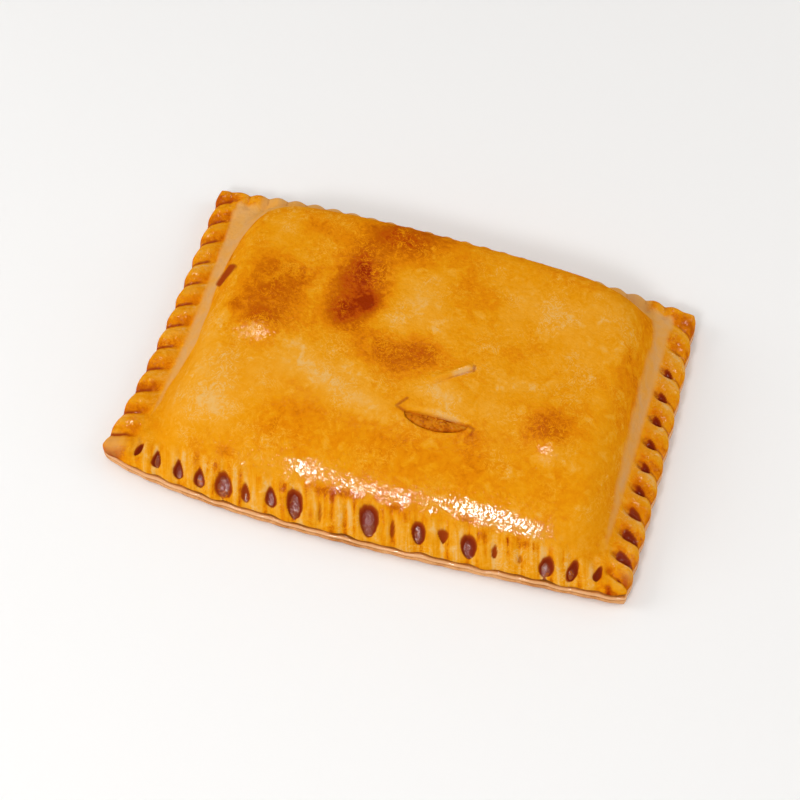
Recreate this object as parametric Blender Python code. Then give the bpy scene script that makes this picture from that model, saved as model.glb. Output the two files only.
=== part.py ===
"""Meat empanada: a rectangular baked parcel of two dough sheets with a crimped rim.

Run with: blender --background --python part.py

Sizes are in millimetres and become metres when a mesh is made. +X runs along the
parcel, -Y is its front edge and +Z is up, with z = 0 under the lower sheet. Shapes
are first worked out on a nominal rectangle, and plan() then bows its four edges.
"""

import bpy
import numpy as np

MM = 0.001

# The nominal rectangle, and where the real corners and edges lie.
HALF_LENGTH = 80.0
HALF_WIDTH = 52.0
FRONT_LEFT_Y = -48.5
FRONT_RIGHT_Y = -51.0
BACK_LEFT_Y = 53.5
BACK_RIGHT_Y = 51.0
LEFT_X = -80.2
RIGHT_BACK_X = 79.4
RIGHT_FRONT_X = 81.5
FRONT_BOW = 6.7
FRONT_BOW_SKEW = 0.65
BACK_BOW = 5.2
LEFT_HOLLOW = 2.6
LEFT_HOLLOW_SKEW = 0.7
RIGHT_BOW = 0.9

# Heights and thicknesses.
SEAM_Z = 3.85
SEAM_WAVE = 0.25
SEAM_WAVE_LENGTHS = (26.0, 33.0)
GAP = 0.3
FILLING_GAP = 0.6
EDGE_Z = 5.0
RIM_Z = 7.3
EDGE_ROUND = 2.2
DOME_RISE = 17.6
CROWN_SHARE = 0.13
CRUST_THICKNESS = 2.7
HOLLOW_INSET = 11.5
FILLING_INSET = 12.5
HOLLOW_MIN = 1.5
NORMAL_STEP = 0.2

# How each side climbs from the rim to the dome: where the climb starts, its length
# scale and how gently it begins. The corner's insets run along the diagonal.
CLIMB = {
    "front": (1.5, 13.0, 1.35),
    "right": (8.5, 6.0, 2.0),
    "back": (5.5, 3.8, 1.6),
    "left": (9.0, 8.0, 2.2),
}
CORNER_CLIMB = (11.5, 7.0, 1.8)

# Crimp marks, each side on its own rule: marks, first place, pitch, how the pitch
# changes and how the marks crowd towards the first corner.
MARKS = {
    "front": (20, -67.8, 7.38, 0.0, 2.48),
    "right": (12, 45.4, -9.54, 0.1116, 0.0),
    "back": (20, -68.6, 7.25, 0.0, 0.0),
    "left": (12, 45.0, -8.33, 0.0, 0.0),
}
STEPS_PER_MARK = 4
FRONT_CORNER_STEPS = (8, 4)
BACK_CORNER_STEPS = (6, 6)
SIDE_CORNER_STEPS = (4, 4)
CROWD_MARKS = 2.5
CORNER_FADE = 6.0

# Groove depth, its inner end, and how far grooves pull the upper edge in.
GROOVES = {
    "front": (0.8, 9.5, 0.3),
    "right": (1.7, 8.0, 1.2),
    "back": (1.7, 5.5, 1.2),
    "left": (1.8, 8.5, 1.3),
}
RIDGE_CROWN = 0.5
GROOVE_START = 0.3
GROOVE_START_REACH = 2.0
GROOVE_FADE = 2.4
GROOVE_SHARPNESS = 0.8
UPPER_SETBACK = {"front": 0.8, "right": 0.2, "back": 0.2, "left": 0.2}
PULL_REACH = 3.0

# Pits pressed by the crimping tool: size across, place and reach inwards, depth.
FRONT_PIT = (1.3, 4.8, 2.6, 1.3)
RIGHT_PIT = (1.5, 6.6, 1.7, 1.6)
FRONT_PIT_MARKS = (1, 2, 3, 4, 5, 6, 7, 10, 12, 14, 17, 18)
RIGHT_PIT_MARKS = (2, 3, 4, 5, 6, 7, 8, 9, 10)

# Rises and dents of the lid: place, height and radius.
LID_BUMPS = (
    (-45.4, -6.7, 0.7, 6.0),
    (49.0, -22.4, 0.8, 6.0),
    (14.0, -12.0, 0.9, 9.0),
    (-1.4, -1.2, -0.6, 11.0),
    (-18.0, 14.0, -0.7, 10.0),
    (44.0, 22.0, 0.5, 14.0),
    (-34.0, -26.0, 0.4, 12.0),
)
LID_WAVE = 0.3
LID_WAVE_LENGTHS = (69.0, 57.0)

# The vent: a slit in the lid, opened like an eye.
SLIT_LEFT = (3.5, -18.9)
SLIT_RIGHT = (23.6, -20.7)
SLIT_BACK_LIP = 1.9
SLIT_FRONT_LIP = 3.9
SLIT_COLUMNS = (12, 16)
SLIT_ROW = 2
SLIT_COLUMN_FALL = 0.55
SLIT_ROW_FALL = 0.45
SLIT_ROW_SPREAD = (0.35, 0.5)

# Rings of the skins, by inset from the edge: four, two and one step for each mark.
FINE_INSETS = (0.0, 0.7, 2.2, 4.2, 6.4, 8.8)
MIDDLE_INSETS = (11.5, 14.0, 17.5)
PATCH_INSET = 21.0
SQUEEZE_POWER = 3.0
SQUEEZE_SPAN = 12.0
SEAM_INSETS = (0.6, 4.0)
LOWER_EDGE = ((1.4, 0.0), (0.25, 1.2), (0.0, 2.6))
LOWER_LIP_INSET = 0.7
LOWER_FLAT_INSET = 6.0
LOWER_SCALLOP = 0.7

CRUST_COLOUR = (0.78, 0.38, 0.06, 1.0)
LOWER_COLOUR = (0.74, 0.40, 0.14, 1.0)
FILLING_COLOUR = (0.50, 0.20, 0.03, 1.0)
CRUST_ROUGHNESS = 0.35
LOWER_ROUGHNESS = 0.55
FILLING_ROUGHNESS = 0.4


def clear_scene():
    for thing in list(bpy.data.objects):
        bpy.data.objects.remove(thing)


def mix(a, b, share):
    return a + (b - a) * share


def smooth(t):
    t = np.clip(t, 0.0, 1.0)
    return t * t * (3.0 - 2.0 * t)


# Plan: the bowed outline


def front_edge(x):
    t = np.clip((x + HALF_LENGTH) / (2 * HALF_LENGTH), 0.0, 1.0)
    return mix(FRONT_LEFT_Y, FRONT_RIGHT_Y, t) - FRONT_BOW * np.sin(np.pi * t**FRONT_BOW_SKEW)


def back_edge(x):
    t = np.clip((x + HALF_LENGTH) / (2 * HALF_LENGTH), 0.0, 1.0)
    return mix(BACK_LEFT_Y, BACK_RIGHT_Y, t) + BACK_BOW * np.sin(np.pi * t)


def left_edge(y):
    t = np.clip((y + HALF_WIDTH) / (2 * HALF_WIDTH), 0.0, 1.0)
    return LEFT_X + LEFT_HOLLOW * np.sin(np.pi * t**LEFT_HOLLOW_SKEW)


def right_edge(y):
    t = np.clip((y + HALF_WIDTH) / (2 * HALF_WIDTH), 0.0, 1.0)
    return mix(RIGHT_FRONT_X, RIGHT_BACK_X, t) + RIGHT_BOW * np.sin(np.pi * t)


def plan(x, y):
    """The place in the bowed outline of a point of the nominal rectangle."""
    along = (x + HALF_LENGTH) / (2 * HALF_LENGTH)
    across = (y + HALF_WIDTH) / (2 * HALF_WIDTH)
    return mix(left_edge(y), right_edge(y), along), mix(front_edge(x), back_edge(x), across)


def insets(x, y):
    """Distance in from each side of the nominal rectangle, and the place along it."""
    return {
        "front": (y + HALF_WIDTH, x, HALF_LENGTH),
        "right": (HALF_LENGTH - x, y, HALF_WIDTH),
        "back": (HALF_WIDTH - y, x, HALF_LENGTH),
        "left": (x + HALF_LENGTH, y, HALF_WIDTH),
    }


# Crimped rim


def mark_place(side, index):
    count, first, pitch, change, crowd = MARKS[side]
    return first + pitch * index + change * index**2 - crowd * (1 - np.exp(-index / CROWD_MARKS))


def groove(side, along, half):
    """1 in a groove and 0 on a ridge's crest, fading out at the corners."""
    indices = np.arange(-1.0, MARKS[side][0] + 1.0)
    places = mark_place(side, np.maximum(indices, 0.0)) + np.minimum(indices, 0.0) * MARKS[side][2]
    order = np.argsort(places)
    phase = np.interp(along, places[order], indices[order])
    ridge = np.abs(np.sin(np.pi * phase)) ** GROOVE_SHARPNESS
    return (1.0 - ridge) * smooth((half - np.abs(along)) / CORNER_FADE)


def pits(side, marks, pit, inset, along):
    """Depth of the pits at the given marks of one side."""
    width, centre, reach, depth = pit
    total = 0.0
    for mark in marks:
        across = (along - mark_place(side, float(mark))) / width
        inwards = (inset - centre) / reach
        total = total + depth * np.exp(-(across**2)) * np.exp(-(inwards**4))
    return total


def crimp_relief(x, y):
    """Height that grooves, ridges and pits add to the rim."""
    total = 0.0
    sides = insets(x, y)
    for side, (depth, inner_end, _) in GROOVES.items():
        inset, along, half = sides[side]
        reach = smooth((inner_end - inset) / GROOVE_FADE + 0.5)
        start = mix(GROOVE_START, 1.0, smooth(inset / GROOVE_START_REACH))
        pillow = RIDGE_CROWN * np.sin(np.pi * np.clip(inset / inner_end, 0.0, 1.0))
        ends = smooth((half - np.abs(along)) / CORNER_FADE)
        total = total + (pillow * ends - depth * start * groove(side, along, half)) * reach
    inset, along, _ = sides["front"]
    total = total - pits("front", FRONT_PIT_MARKS, FRONT_PIT, inset, along)
    inset, along, _ = sides["right"]
    return total - pits("right", RIGHT_PIT_MARKS, RIGHT_PIT, inset, along)


def upper_shift(x, y):
    """How far the upper sheet's edge stands back from the outline, in x and in y."""
    pull = {}
    for side, (inset, along, half) in insets(x, y).items():
        scallop = GROOVES[side][2] * groove(side, along, half)
        pull[side] = (UPPER_SETBACK[side] + scallop) * np.exp(-inset / PULL_REACH)
    return pull["left"] - pull["right"], pull["front"] - pull["back"]


# Lid: the upper sheet over the filling


def climb_share(inset, climb):
    """How much of the way up the dome is at an inset, from 0 to 1."""
    start, length, power = climb
    return 1.0 - np.exp(-((np.maximum(inset - start, 0.0) / length) ** power))


def dome(x, y):
    share = 1.0
    for side, (inset, _, _) in insets(x, y).items():
        share = share * climb_share(inset, CLIMB[side])
    diagonal = (HALF_LENGTH + HALF_WIDTH - np.abs(x) - np.abs(y)) / np.sqrt(2.0)
    share = share * climb_share(diagonal, CORNER_CLIMB)
    crown = (1.0 - (x / HALF_LENGTH) ** 2) * (1.0 - (y / HALF_WIDTH) ** 2)
    return DOME_RISE * share * (1.0 - CROWN_SHARE * (1.0 - crown))


def lid_relief(x, y):
    total = LID_WAVE * np.sin(2 * np.pi * x / LID_WAVE_LENGTHS[0] + 1.0)
    total = total * np.sin(2 * np.pi * y / LID_WAVE_LENGTHS[1] + 0.5)
    for place_x, place_y, height, radius in LID_BUMPS:
        distance = ((x - place_x) ** 2 + (y - place_y) ** 2) / radius**2
        total = total + height * np.exp(-distance)
    return total


def upper_height(x, y):
    nearest = np.minimum(HALF_LENGTH - np.abs(x), HALF_WIDTH - np.abs(y))
    edge = (RIM_Z - EDGE_Z) * np.clip(1.0 - nearest / EDGE_ROUND, 0.0, 1.0) ** 2
    climb = dome(x, y)
    return RIM_Z - edge + crimp_relief(x, y) + climb + lid_relief(x, y) * climb / DOME_RISE


def upper_surface(x, y):
    """Points of the upper sheet's outer face, one row each."""
    shift_x, shift_y = upper_shift(x, y)
    place_x, place_y = plan(x, y)
    return np.stack([place_x + shift_x, place_y + shift_y, upper_height(x, y)], axis=-1)


def inner_surface(x, y, depth, floor):
    """The outer face set in by a depth along its normal, and never below a floor."""
    east = upper_surface(x + NORMAL_STEP, y) - upper_surface(x - NORMAL_STEP, y)
    north = upper_surface(x, y + NORMAL_STEP) - upper_surface(x, y - NORMAL_STEP)
    normal = np.cross(east, north)
    normal = normal / np.linalg.norm(normal, axis=-1, keepdims=True)
    points = upper_surface(x, y) - normal * depth
    points[..., 2] = np.maximum(points[..., 2], floor)
    return points


def seam_height(x, y):
    """Height of the seam between the two sheets, slightly wavy at the edge."""
    nearest = np.minimum(HALF_LENGTH - np.abs(x), HALF_WIDTH - np.abs(y))
    wave = np.sin(2 * np.pi * x / SEAM_WAVE_LENGTHS[0]) * np.cos(2 * np.pi * y / SEAM_WAVE_LENGTHS[1])
    return SEAM_Z + SEAM_WAVE * wave * smooth(1.0 - nearest / LOWER_FLAT_INSET)


# Stations round the rim, and rings through them


def side_stations(side, corner_steps, half):
    """Places along a side: STEPS_PER_MARK steps from mark to mark, and the corners."""
    count = MARKS[side][0]
    marks = np.sort(mark_place(side, np.arange(count, dtype=float)))
    steps = np.arange((count - 1) * STEPS_PER_MARK + 1) / STEPS_PER_MARK
    middle = np.interp(steps, np.arange(count), marks)
    first = np.linspace(-half, marks[0], corner_steps[0] + 1)[:-1]
    last = np.linspace(marks[-1], half, corner_steps[1] + 1)[1:]
    return np.concatenate([first, middle, last])


STATIONS = {
    "front": side_stations("front", FRONT_CORNER_STEPS, HALF_LENGTH),
    "right": side_stations("right", SIDE_CORNER_STEPS, HALF_WIDTH),
    "back": side_stations("back", BACK_CORNER_STEPS, HALF_LENGTH),
    "left": side_stations("left", SIDE_CORNER_STEPS, HALF_WIDTH),
}


def squeezed(stations, half, inset):
    """Stations drawn in towards the middle, most of all near the corners."""
    power = SQUEEZE_POWER * np.clip((PATCH_INSET - inset) / SQUEEZE_SPAN, 0.0, 1.0)
    return stations * (1.0 - inset / half * np.abs(stations / half) ** power)


def side_rows(inset, stride):
    """The stations of each side at an inset, keeping every stride-th one."""
    return {
        "front": squeezed(STATIONS["front"][::stride], HALF_LENGTH, inset),
        "right": squeezed(STATIONS["right"][::stride], HALF_WIDTH, inset),
        "back": squeezed(STATIONS["back"][::stride], HALF_LENGTH, inset),
        "left": squeezed(STATIONS["left"][::stride], HALF_WIDTH, inset),
    }


def ring(inset, stride):
    """A closed ring, anticlockwise from the front left corner."""
    rows = side_rows(inset, stride)
    low_x = -HALF_LENGTH + inset
    low_y = -HALF_WIDTH + inset
    front = [(x, low_y) for x in rows["front"][:-1]]
    right = [(-low_x, y) for y in rows["right"][:-1]]
    back = [(x, -low_y) for x in rows["back"][:0:-1]]
    left = [(low_x, y) for y in rows["left"][:0:-1]]
    points = np.array(front + right + back + left)
    return points[:, 0], points[:, 1]


class Skin:
    """Vertices and faces of one solid, built up ring by ring."""

    def __init__(self):
        self.points = []
        self.faces = []

    def add(self, points):
        start = len(self.points)
        self.points.extend(points)
        return list(range(start, len(self.points)))

    def face(self, corners, upwards):
        self.faces.append(tuple(corners) if upwards else tuple(reversed(corners)))

    def band(self, outer, inner, upwards=True):
        """Join two rings of equal count, or an outer ring with twice the points."""
        count = len(inner)
        double = len(outer) == 2 * count
        for i in range(count):
            j = (i + 1) % count
            if not double:
                self.face((outer[i], outer[j], inner[j], inner[i]), upwards)
                continue
            middle = outer[2 * i + 1]
            self.face((outer[2 * i], middle, inner[i]), upwards)
            self.face((middle, inner[j], inner[i]), upwards)
            self.face((middle, outer[(2 * i + 2) % len(outer)], inner[j]), upwards)

    def cap(self, border, centre, upwards):
        """Close a flat border ring with a fan from one centre point."""
        hub = self.add([centre])[0]
        for i, corner in enumerate(border):
            self.face((corner, border[(i + 1) % len(border)], hub), upwards)

    def drop_unused(self):
        """Leave out vertices that no face uses."""
        used = sorted({corner for face in self.faces for corner in face})
        order = {old: new for new, old in enumerate(used)}
        self.points = [self.points[old] for old in used]
        self.faces = [tuple(order[corner] for corner in face) for face in self.faces]

    def make(self, name, colour, roughness, centre):
        mesh = bpy.data.meshes.new(name)
        points = (np.array(self.points) - (centre[0], centre[1], 0.0)) * MM
        mesh.from_pydata(points.tolist(), [], self.faces)
        mesh.validate()
        mesh.shade_smooth()
        mesh.materials.append(dough_material(name, colour, roughness))
        bpy.context.scene.collection.objects.link(bpy.data.objects.new(name, mesh))


def dough_material(name, colour, roughness):
    material = bpy.data.materials.new(name)
    material.use_nodes = True
    shader = material.node_tree.nodes["Principled BSDF"]
    shader.inputs["Base Color"].default_value = colour
    shader.inputs["Roughness"].default_value = roughness
    return material


# The patch: a grid inside the innermost ring, which the vent's slit can part


def patch_grid():
    """Nominal places of the patch's grid, with its rows drawn to the slit."""
    rows = side_rows(PATCH_INSET, STEPS_PER_MARK)
    columns = len(rows["front"]) - 1
    lines = len(rows["left"]) - 1
    across = np.linspace(0.0, 1.0, lines + 1)[None, :]
    along = np.linspace(0.0, 1.0, columns + 1)[:, None]
    x = mix(rows["front"][:, None], rows["back"][:, None], across)
    y = mix(rows["left"][None, :], rows["right"][None, :], along)
    first, last = SLIT_COLUMNS
    share = np.clip((np.arange(columns + 1) - first) / (last - first), 0.0, 1.0)
    target_x = mix(SLIT_LEFT[0], SLIT_RIGHT[0], share)
    target_y = mix(SLIT_LEFT[1], SLIT_RIGHT[1], share)
    nearest = np.clip(np.arange(columns + 1), first, last)
    beyond = np.abs(np.arange(columns + 1) - nearest)
    move_x = target_x - x[nearest, SLIT_ROW]
    move_y = target_y - y[nearest, SLIT_ROW]
    rows_off = np.abs(np.arange(lines + 1) - SLIT_ROW)
    fall = SLIT_COLUMN_FALL ** beyond[:, None] * SLIT_ROW_FALL ** rows_off[None, :]
    fall[[0, -1], :] = 0.0
    fall[:, [0, -1]] = 0.0
    x = x + move_x[:, None] * fall
    y = y + move_y[:, None] * fall
    eye = slit_opening(np.arange(columns + 1))
    y[:, SLIT_ROW - 1] -= SLIT_ROW_SPREAD[0] * SLIT_FRONT_LIP * eye
    y[:, SLIT_ROW + 1] += SLIT_ROW_SPREAD[1] * SLIT_BACK_LIP * eye
    return x, y


def slit_opening(column):
    """How far open the slit is at a column of the patch, from 0 to 1."""
    first, last = SLIT_COLUMNS
    t = np.clip((column - first) / (last - first), 0.0, 1.0)
    return np.sin(np.pi * t)


def patch(skin, border, surface, upwards, slit):
    """Fill a border ring with the grid. Returns the slit's two lips, as vertices."""
    x, y = patch_grid()
    columns = x.shape[0] - 1
    lines = x.shape[1] - 1
    index = np.full((columns + 1, lines + 1), -1)
    index[:-1, 0] = border[:columns]
    index[-1, :-1] = border[columns : columns + lines]
    index[:0:-1, -1] = border[columns + lines : 2 * columns + lines]
    index[0, :0:-1] = border[2 * columns + lines :]
    inside = skin.add(surface(x[1:-1, 1:-1].ravel(), y[1:-1, 1:-1].ravel()))
    index[1:-1, 1:-1] = np.reshape(inside, (columns - 1, lines - 1))
    lower = index.copy()
    lips = None
    if slit:
        first, last = SLIT_COLUMNS
        inner = np.arange(first + 1, last)
        opening = slit_opening(inner)
        middle_x = x[inner, SLIT_ROW]
        middle_y = y[inner, SLIT_ROW]
        back = skin.add(surface(middle_x, middle_y + SLIT_BACK_LIP * opening))
        front = skin.add(surface(middle_x, middle_y - SLIT_FRONT_LIP * opening))
        index[inner, SLIT_ROW] = back
        lower[inner, SLIT_ROW] = front
        left = int(index[first, SLIT_ROW])
        right = int(index[last, SLIT_ROW])
        lips = [left] + front + [right] + back[::-1]
    for i in range(columns):
        for j in range(lines):
            top = lower if j + 1 == SLIT_ROW else index
            corners = (index[i, j], index[i + 1, j], top[i + 1, j + 1], top[i, j + 1])
            skin.face([int(corner) for corner in corners], upwards)
    return lips


# The three solids


def upper_foot(x, y):
    """Points of the upper sheet's underside, where it lies on the lower sheet."""
    points = upper_surface(x, y)
    points[..., 2] = seam_height(x, y) + GAP / 2
    return points


def lining(x, y):
    """Points of the upper sheet's inner face, over the filling."""
    return inner_surface(x, y, CRUST_THICKNESS, SEAM_Z + GAP / 2 + HOLLOW_MIN)


def top_crust():
    skin = Skin()
    foot = skin.add(upper_foot(*ring(SEAM_INSETS[0], 1)))
    outer = foot
    for inset in FINE_INSETS:
        inner = skin.add(upper_surface(*ring(inset, 1)))
        skin.band(outer, inner)
        outer = inner
    for inset in MIDDLE_INSETS:
        inner = skin.add(upper_surface(*ring(inset, 2)))
        skin.band(outer, inner)
        outer = inner
    inner = skin.add(upper_surface(*ring(PATCH_INSET, STEPS_PER_MARK)))
    skin.band(outer, inner)
    outer_lips = patch(skin, inner, upper_surface, True, True)

    outer = foot
    for inset in (SEAM_INSETS[1], HOLLOW_INSET):
        inner = skin.add(upper_foot(*ring(inset, 2)))
        skin.band(outer, inner, upwards=False)
        outer = inner
    for inset in MIDDLE_INSETS:
        inner = skin.add(lining(*ring(inset, 2)))
        skin.band(outer, inner, upwards=False)
        outer = inner
    inner = skin.add(lining(*ring(PATCH_INSET, STEPS_PER_MARK)))
    skin.band(outer, inner, upwards=False)
    inner_lips = patch(skin, inner, lining, False, True)

    skin.band(outer_lips, inner_lips)
    skin.drop_unused()
    return skin


def lower_ring(inset, height=None):
    """A ring of the lower sheet, at a height or else just under the seam."""
    x, y = ring(inset, 2)
    sides = insets(x, y)
    pull = {}
    for side in ("right", "back", "left"):
        depth, along, half = sides[side]
        pull[side] = LOWER_SCALLOP * groove(side, along, half) * np.exp(-depth / PULL_REACH)
    place_x, place_y = plan(x, y)
    place_x = place_x + pull["left"] - pull["right"]
    place_y = place_y - pull["back"]
    level = seam_height(x, y) - GAP / 2 if height is None else np.full_like(x, height)
    return np.stack([place_x, place_y, level], axis=-1)


def bottom_crust():
    skin = Skin()
    rings = [skin.add(lower_ring(inset, height)) for inset, height in LOWER_EDGE]
    rings.append(skin.add(lower_ring(LOWER_LIP_INSET)))
    rings.append(skin.add(lower_ring(LOWER_FLAT_INSET)))
    for outer, inner in zip(rings, rings[1:]):
        skin.band(outer, inner)
    skin.cap(rings[0], (0.0, 0.0, 0.0), upwards=False)
    skin.cap(rings[-1], (0.0, 0.0, SEAM_Z - GAP / 2), upwards=True)
    return skin


def filling_top(x, y):
    """Points of the filling's upper face, under the lining."""
    lowest = SEAM_Z + GAP / 2 + HOLLOW_MIN - FILLING_GAP
    return inner_surface(x, y, CRUST_THICKNESS + FILLING_GAP, lowest)


def filling():
    skin = Skin()
    floor = SEAM_Z + GAP / 2
    place_x, place_y = plan(*ring(FILLING_INSET, 2))
    base = skin.add(np.stack([place_x, place_y, np.full_like(place_x, floor)], axis=-1))
    outer = base
    for inset in (FILLING_INSET,) + MIDDLE_INSETS[1:]:
        inner = skin.add(filling_top(*ring(inset, 2)))
        skin.band(outer, inner)
        outer = inner
    inner = skin.add(filling_top(*ring(PATCH_INSET, STEPS_PER_MARK)))
    skin.band(outer, inner)
    patch(skin, inner, filling_top, True, False)
    skin.cap(base, (0.0, 0.0, floor), upwards=False)
    return skin


def main():
    clear_scene()
    crust = top_crust()
    lower = bottom_crust()
    corners = np.array(crust.points + lower.points)
    centre = (corners.min(axis=0) + corners.max(axis=0)) / 2
    crust.make("top_crust", CRUST_COLOUR, CRUST_ROUGHNESS, centre)
    lower.make("bottom_crust", LOWER_COLOUR, LOWER_ROUGHNESS, centre)
    filling().make("filling", FILLING_COLOUR, FILLING_ROUGHNESS, centre)


main()
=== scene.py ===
"""Meat empanada: the finished look of the baked parcel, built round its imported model.

The shapes are worked out in millimetres on a nominal rectangle, which plan() bows into
the parcel's outline, and become metres in the frame's own place when a mesh is made.
"""

import math

import bpy
import numpy as np
from bpy.props import FloatProperty, FloatVectorProperty, IntProperty, PointerProperty
from mathutils import Matrix, Vector
from mathutils.geometry import delaunay_2d_cdt

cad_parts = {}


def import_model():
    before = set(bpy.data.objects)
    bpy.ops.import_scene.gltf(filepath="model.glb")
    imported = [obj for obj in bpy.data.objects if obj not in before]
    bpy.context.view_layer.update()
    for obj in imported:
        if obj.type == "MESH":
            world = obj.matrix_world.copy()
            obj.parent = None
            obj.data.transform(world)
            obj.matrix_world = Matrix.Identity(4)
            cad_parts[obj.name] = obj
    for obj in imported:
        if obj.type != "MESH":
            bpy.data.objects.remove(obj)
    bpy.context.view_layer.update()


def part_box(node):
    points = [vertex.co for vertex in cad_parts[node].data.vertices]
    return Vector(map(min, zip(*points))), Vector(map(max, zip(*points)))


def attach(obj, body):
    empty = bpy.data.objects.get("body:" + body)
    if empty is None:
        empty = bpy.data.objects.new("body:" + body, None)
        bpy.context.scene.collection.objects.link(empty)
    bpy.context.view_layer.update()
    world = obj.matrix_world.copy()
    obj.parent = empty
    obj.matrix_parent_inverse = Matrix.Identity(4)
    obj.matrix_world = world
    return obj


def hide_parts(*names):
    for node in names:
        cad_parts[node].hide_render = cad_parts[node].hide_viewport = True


bl_info = {
    "name": "Meat Empanada",
    "version": (1, 0, 0),
    "blender": (4, 5, 0),
    "location": "3D View > Sidebar > Empanada",
    "description": "Builds a crimped, egg-glazed meat empanada with a vent, and its stage",
    "category": "Add Mesh",
}

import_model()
MM = 0.001

# The nominal rectangle, and where the real corners and edges lie.
HALF_LENGTH = 80.0
HALF_WIDTH = 52.0
FRONT_LEFT_Y = -48.5
FRONT_RIGHT_Y = -51.0
BACK_LEFT_Y = 53.5
BACK_RIGHT_Y = 51.0
LEFT_X = -80.2
RIGHT_BACK_X = 79.4
RIGHT_FRONT_X = 81.5
FRONT_BOW = 6.7
FRONT_BOW_SKEW = 0.65
BACK_BOW = 5.2
LEFT_HOLLOW = 2.6
LEFT_HOLLOW_SKEW = 0.7
RIGHT_BOW = 0.9

# Heights of the seam, the rim and the lid.
SEAM_Z = 3.85
# Waves of the seam round the rim: length, phase and height; how far the upper sheet's
# edge wanders in and out with them; and how fast they run along the short sides.
SEAM_WAVES = ((26.0, 0.0, 0.16), (11.7, 0.6, 0.2), (7.3, 1.9, 0.14))
SEAM_WANDER = 0.9
SEAM_SLANT = 0.83
SEAM_FADE = 6.0
SEAM_SCALLOP = 0.3
SEAM_TUCK = 0.1
GAP = 0.3
FILLING_GAP = 0.6
EDGE_Z = 5.0
RIM_Z = 7.3
EDGE_ROUND = 2.2
DOME_RISE = 17.6
CROWN_SHARE = 0.13
HOLLOW_INSET = 11.5
FILLING_INSET = 12.5
HOLLOW_MIN = 1.5
NORMAL_STEP = 0.2

# How each side climbs from the rim to the lid: start, length scale, gentleness.
CLIMB = {
    "front": (1.5, 13.0, 1.35),
    "right": (8.5, 6.0, 2.0),
    "back": (5.5, 3.8, 1.6),
    "left": (9.0, 8.0, 2.2),
}
FRONT_CORNER_CLIMB = (11.5, 7.0, 1.8)
BACK_CORNER_CLIMB = (12.5, 9.5, 1.7)
# Over what distance the front corners' climb turns into the back corners'.
CORNER_CHANGE = 20.0

# Crimp marks of each side: marks, first place, pitch, change of pitch, crowding.
MARKS = {
    "front": (20, -67.8, 7.38, 0.0, 2.48),
    "right": (12, 43.75, -9.54, 0.1116, 0.0),
    "back": (24, -75.1, 6.29, 0.0, 0.0),
    "left": (12, 46.1, -8.33, 0.0, 0.0),
}
CROWD_MARKS = 2.5
CORNER_FADE = 6.0
BACK_CORNER_FADE = 10.8
# Grooves: depth of the hollow, depth of the sharp crease in it, inner end, edge pull.
GROOVES = {
    "front": (0.6, 0.1, 9.5, 0.4),
    "right": (0.9, 0.12, 8.0, 0.8),
    "back": (1.1, 0.15, 6.5, 0.8),
    "left": (1.05, 0.15, 8.4, 0.8),
}
# How far a groove's line moves along the side for each millimetre inwards.
GROOVE_LEAN = {"front": -0.33, "right": 0.49, "back": 0.1, "left": 0.56}
LEAN_INSET = 3.5
CREASE_WIDTH = 0.8
GROOVE_FADE = 2.4
GROOVE_START = 0.3
GROOVE_START_REACH = 2.0
GROOVE_SHARPNESS = 1.2
RIDGE_CROWN = {"front": 0.4, "right": 0.55, "back": 0.5, "left": 0.7}
UPPER_SETBACK = {"front": 0.8, "right": 0.2, "back": 0.2, "left": 0.2}
PULL_REACH = 3.0
# The rim stands higher and further out at the back left: place, reach, rise and push.
BACK_LIFT = (-52.0, 26.0, 0.9, 0.7)
BACK_LIFT_FADE = 9.0
# Fine creases across the ridges: how many to a ridge, and their depth.
FINE_CREASES = {"left": (3, 0.1), "right": (3, 0.12), "back": (2, 0.06), "front": (1, 0.0)}
# How wide a fine crease is and where it starts beside a groove, in shares of a ridge.
FINE_CREASE_WIDTH = 0.3
FINE_CREASE_START = (0.15, 0.1)
# How far the corners are rounded off, and over what distance.
CORNER_ROUNDING = (0.9, 1.8)
# The sheets merge round the front left corner: its place, and how far this reaches.
MERGE_PLACE = (-80.0, -52.0)
MERGE_REACH = 15.0

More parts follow.
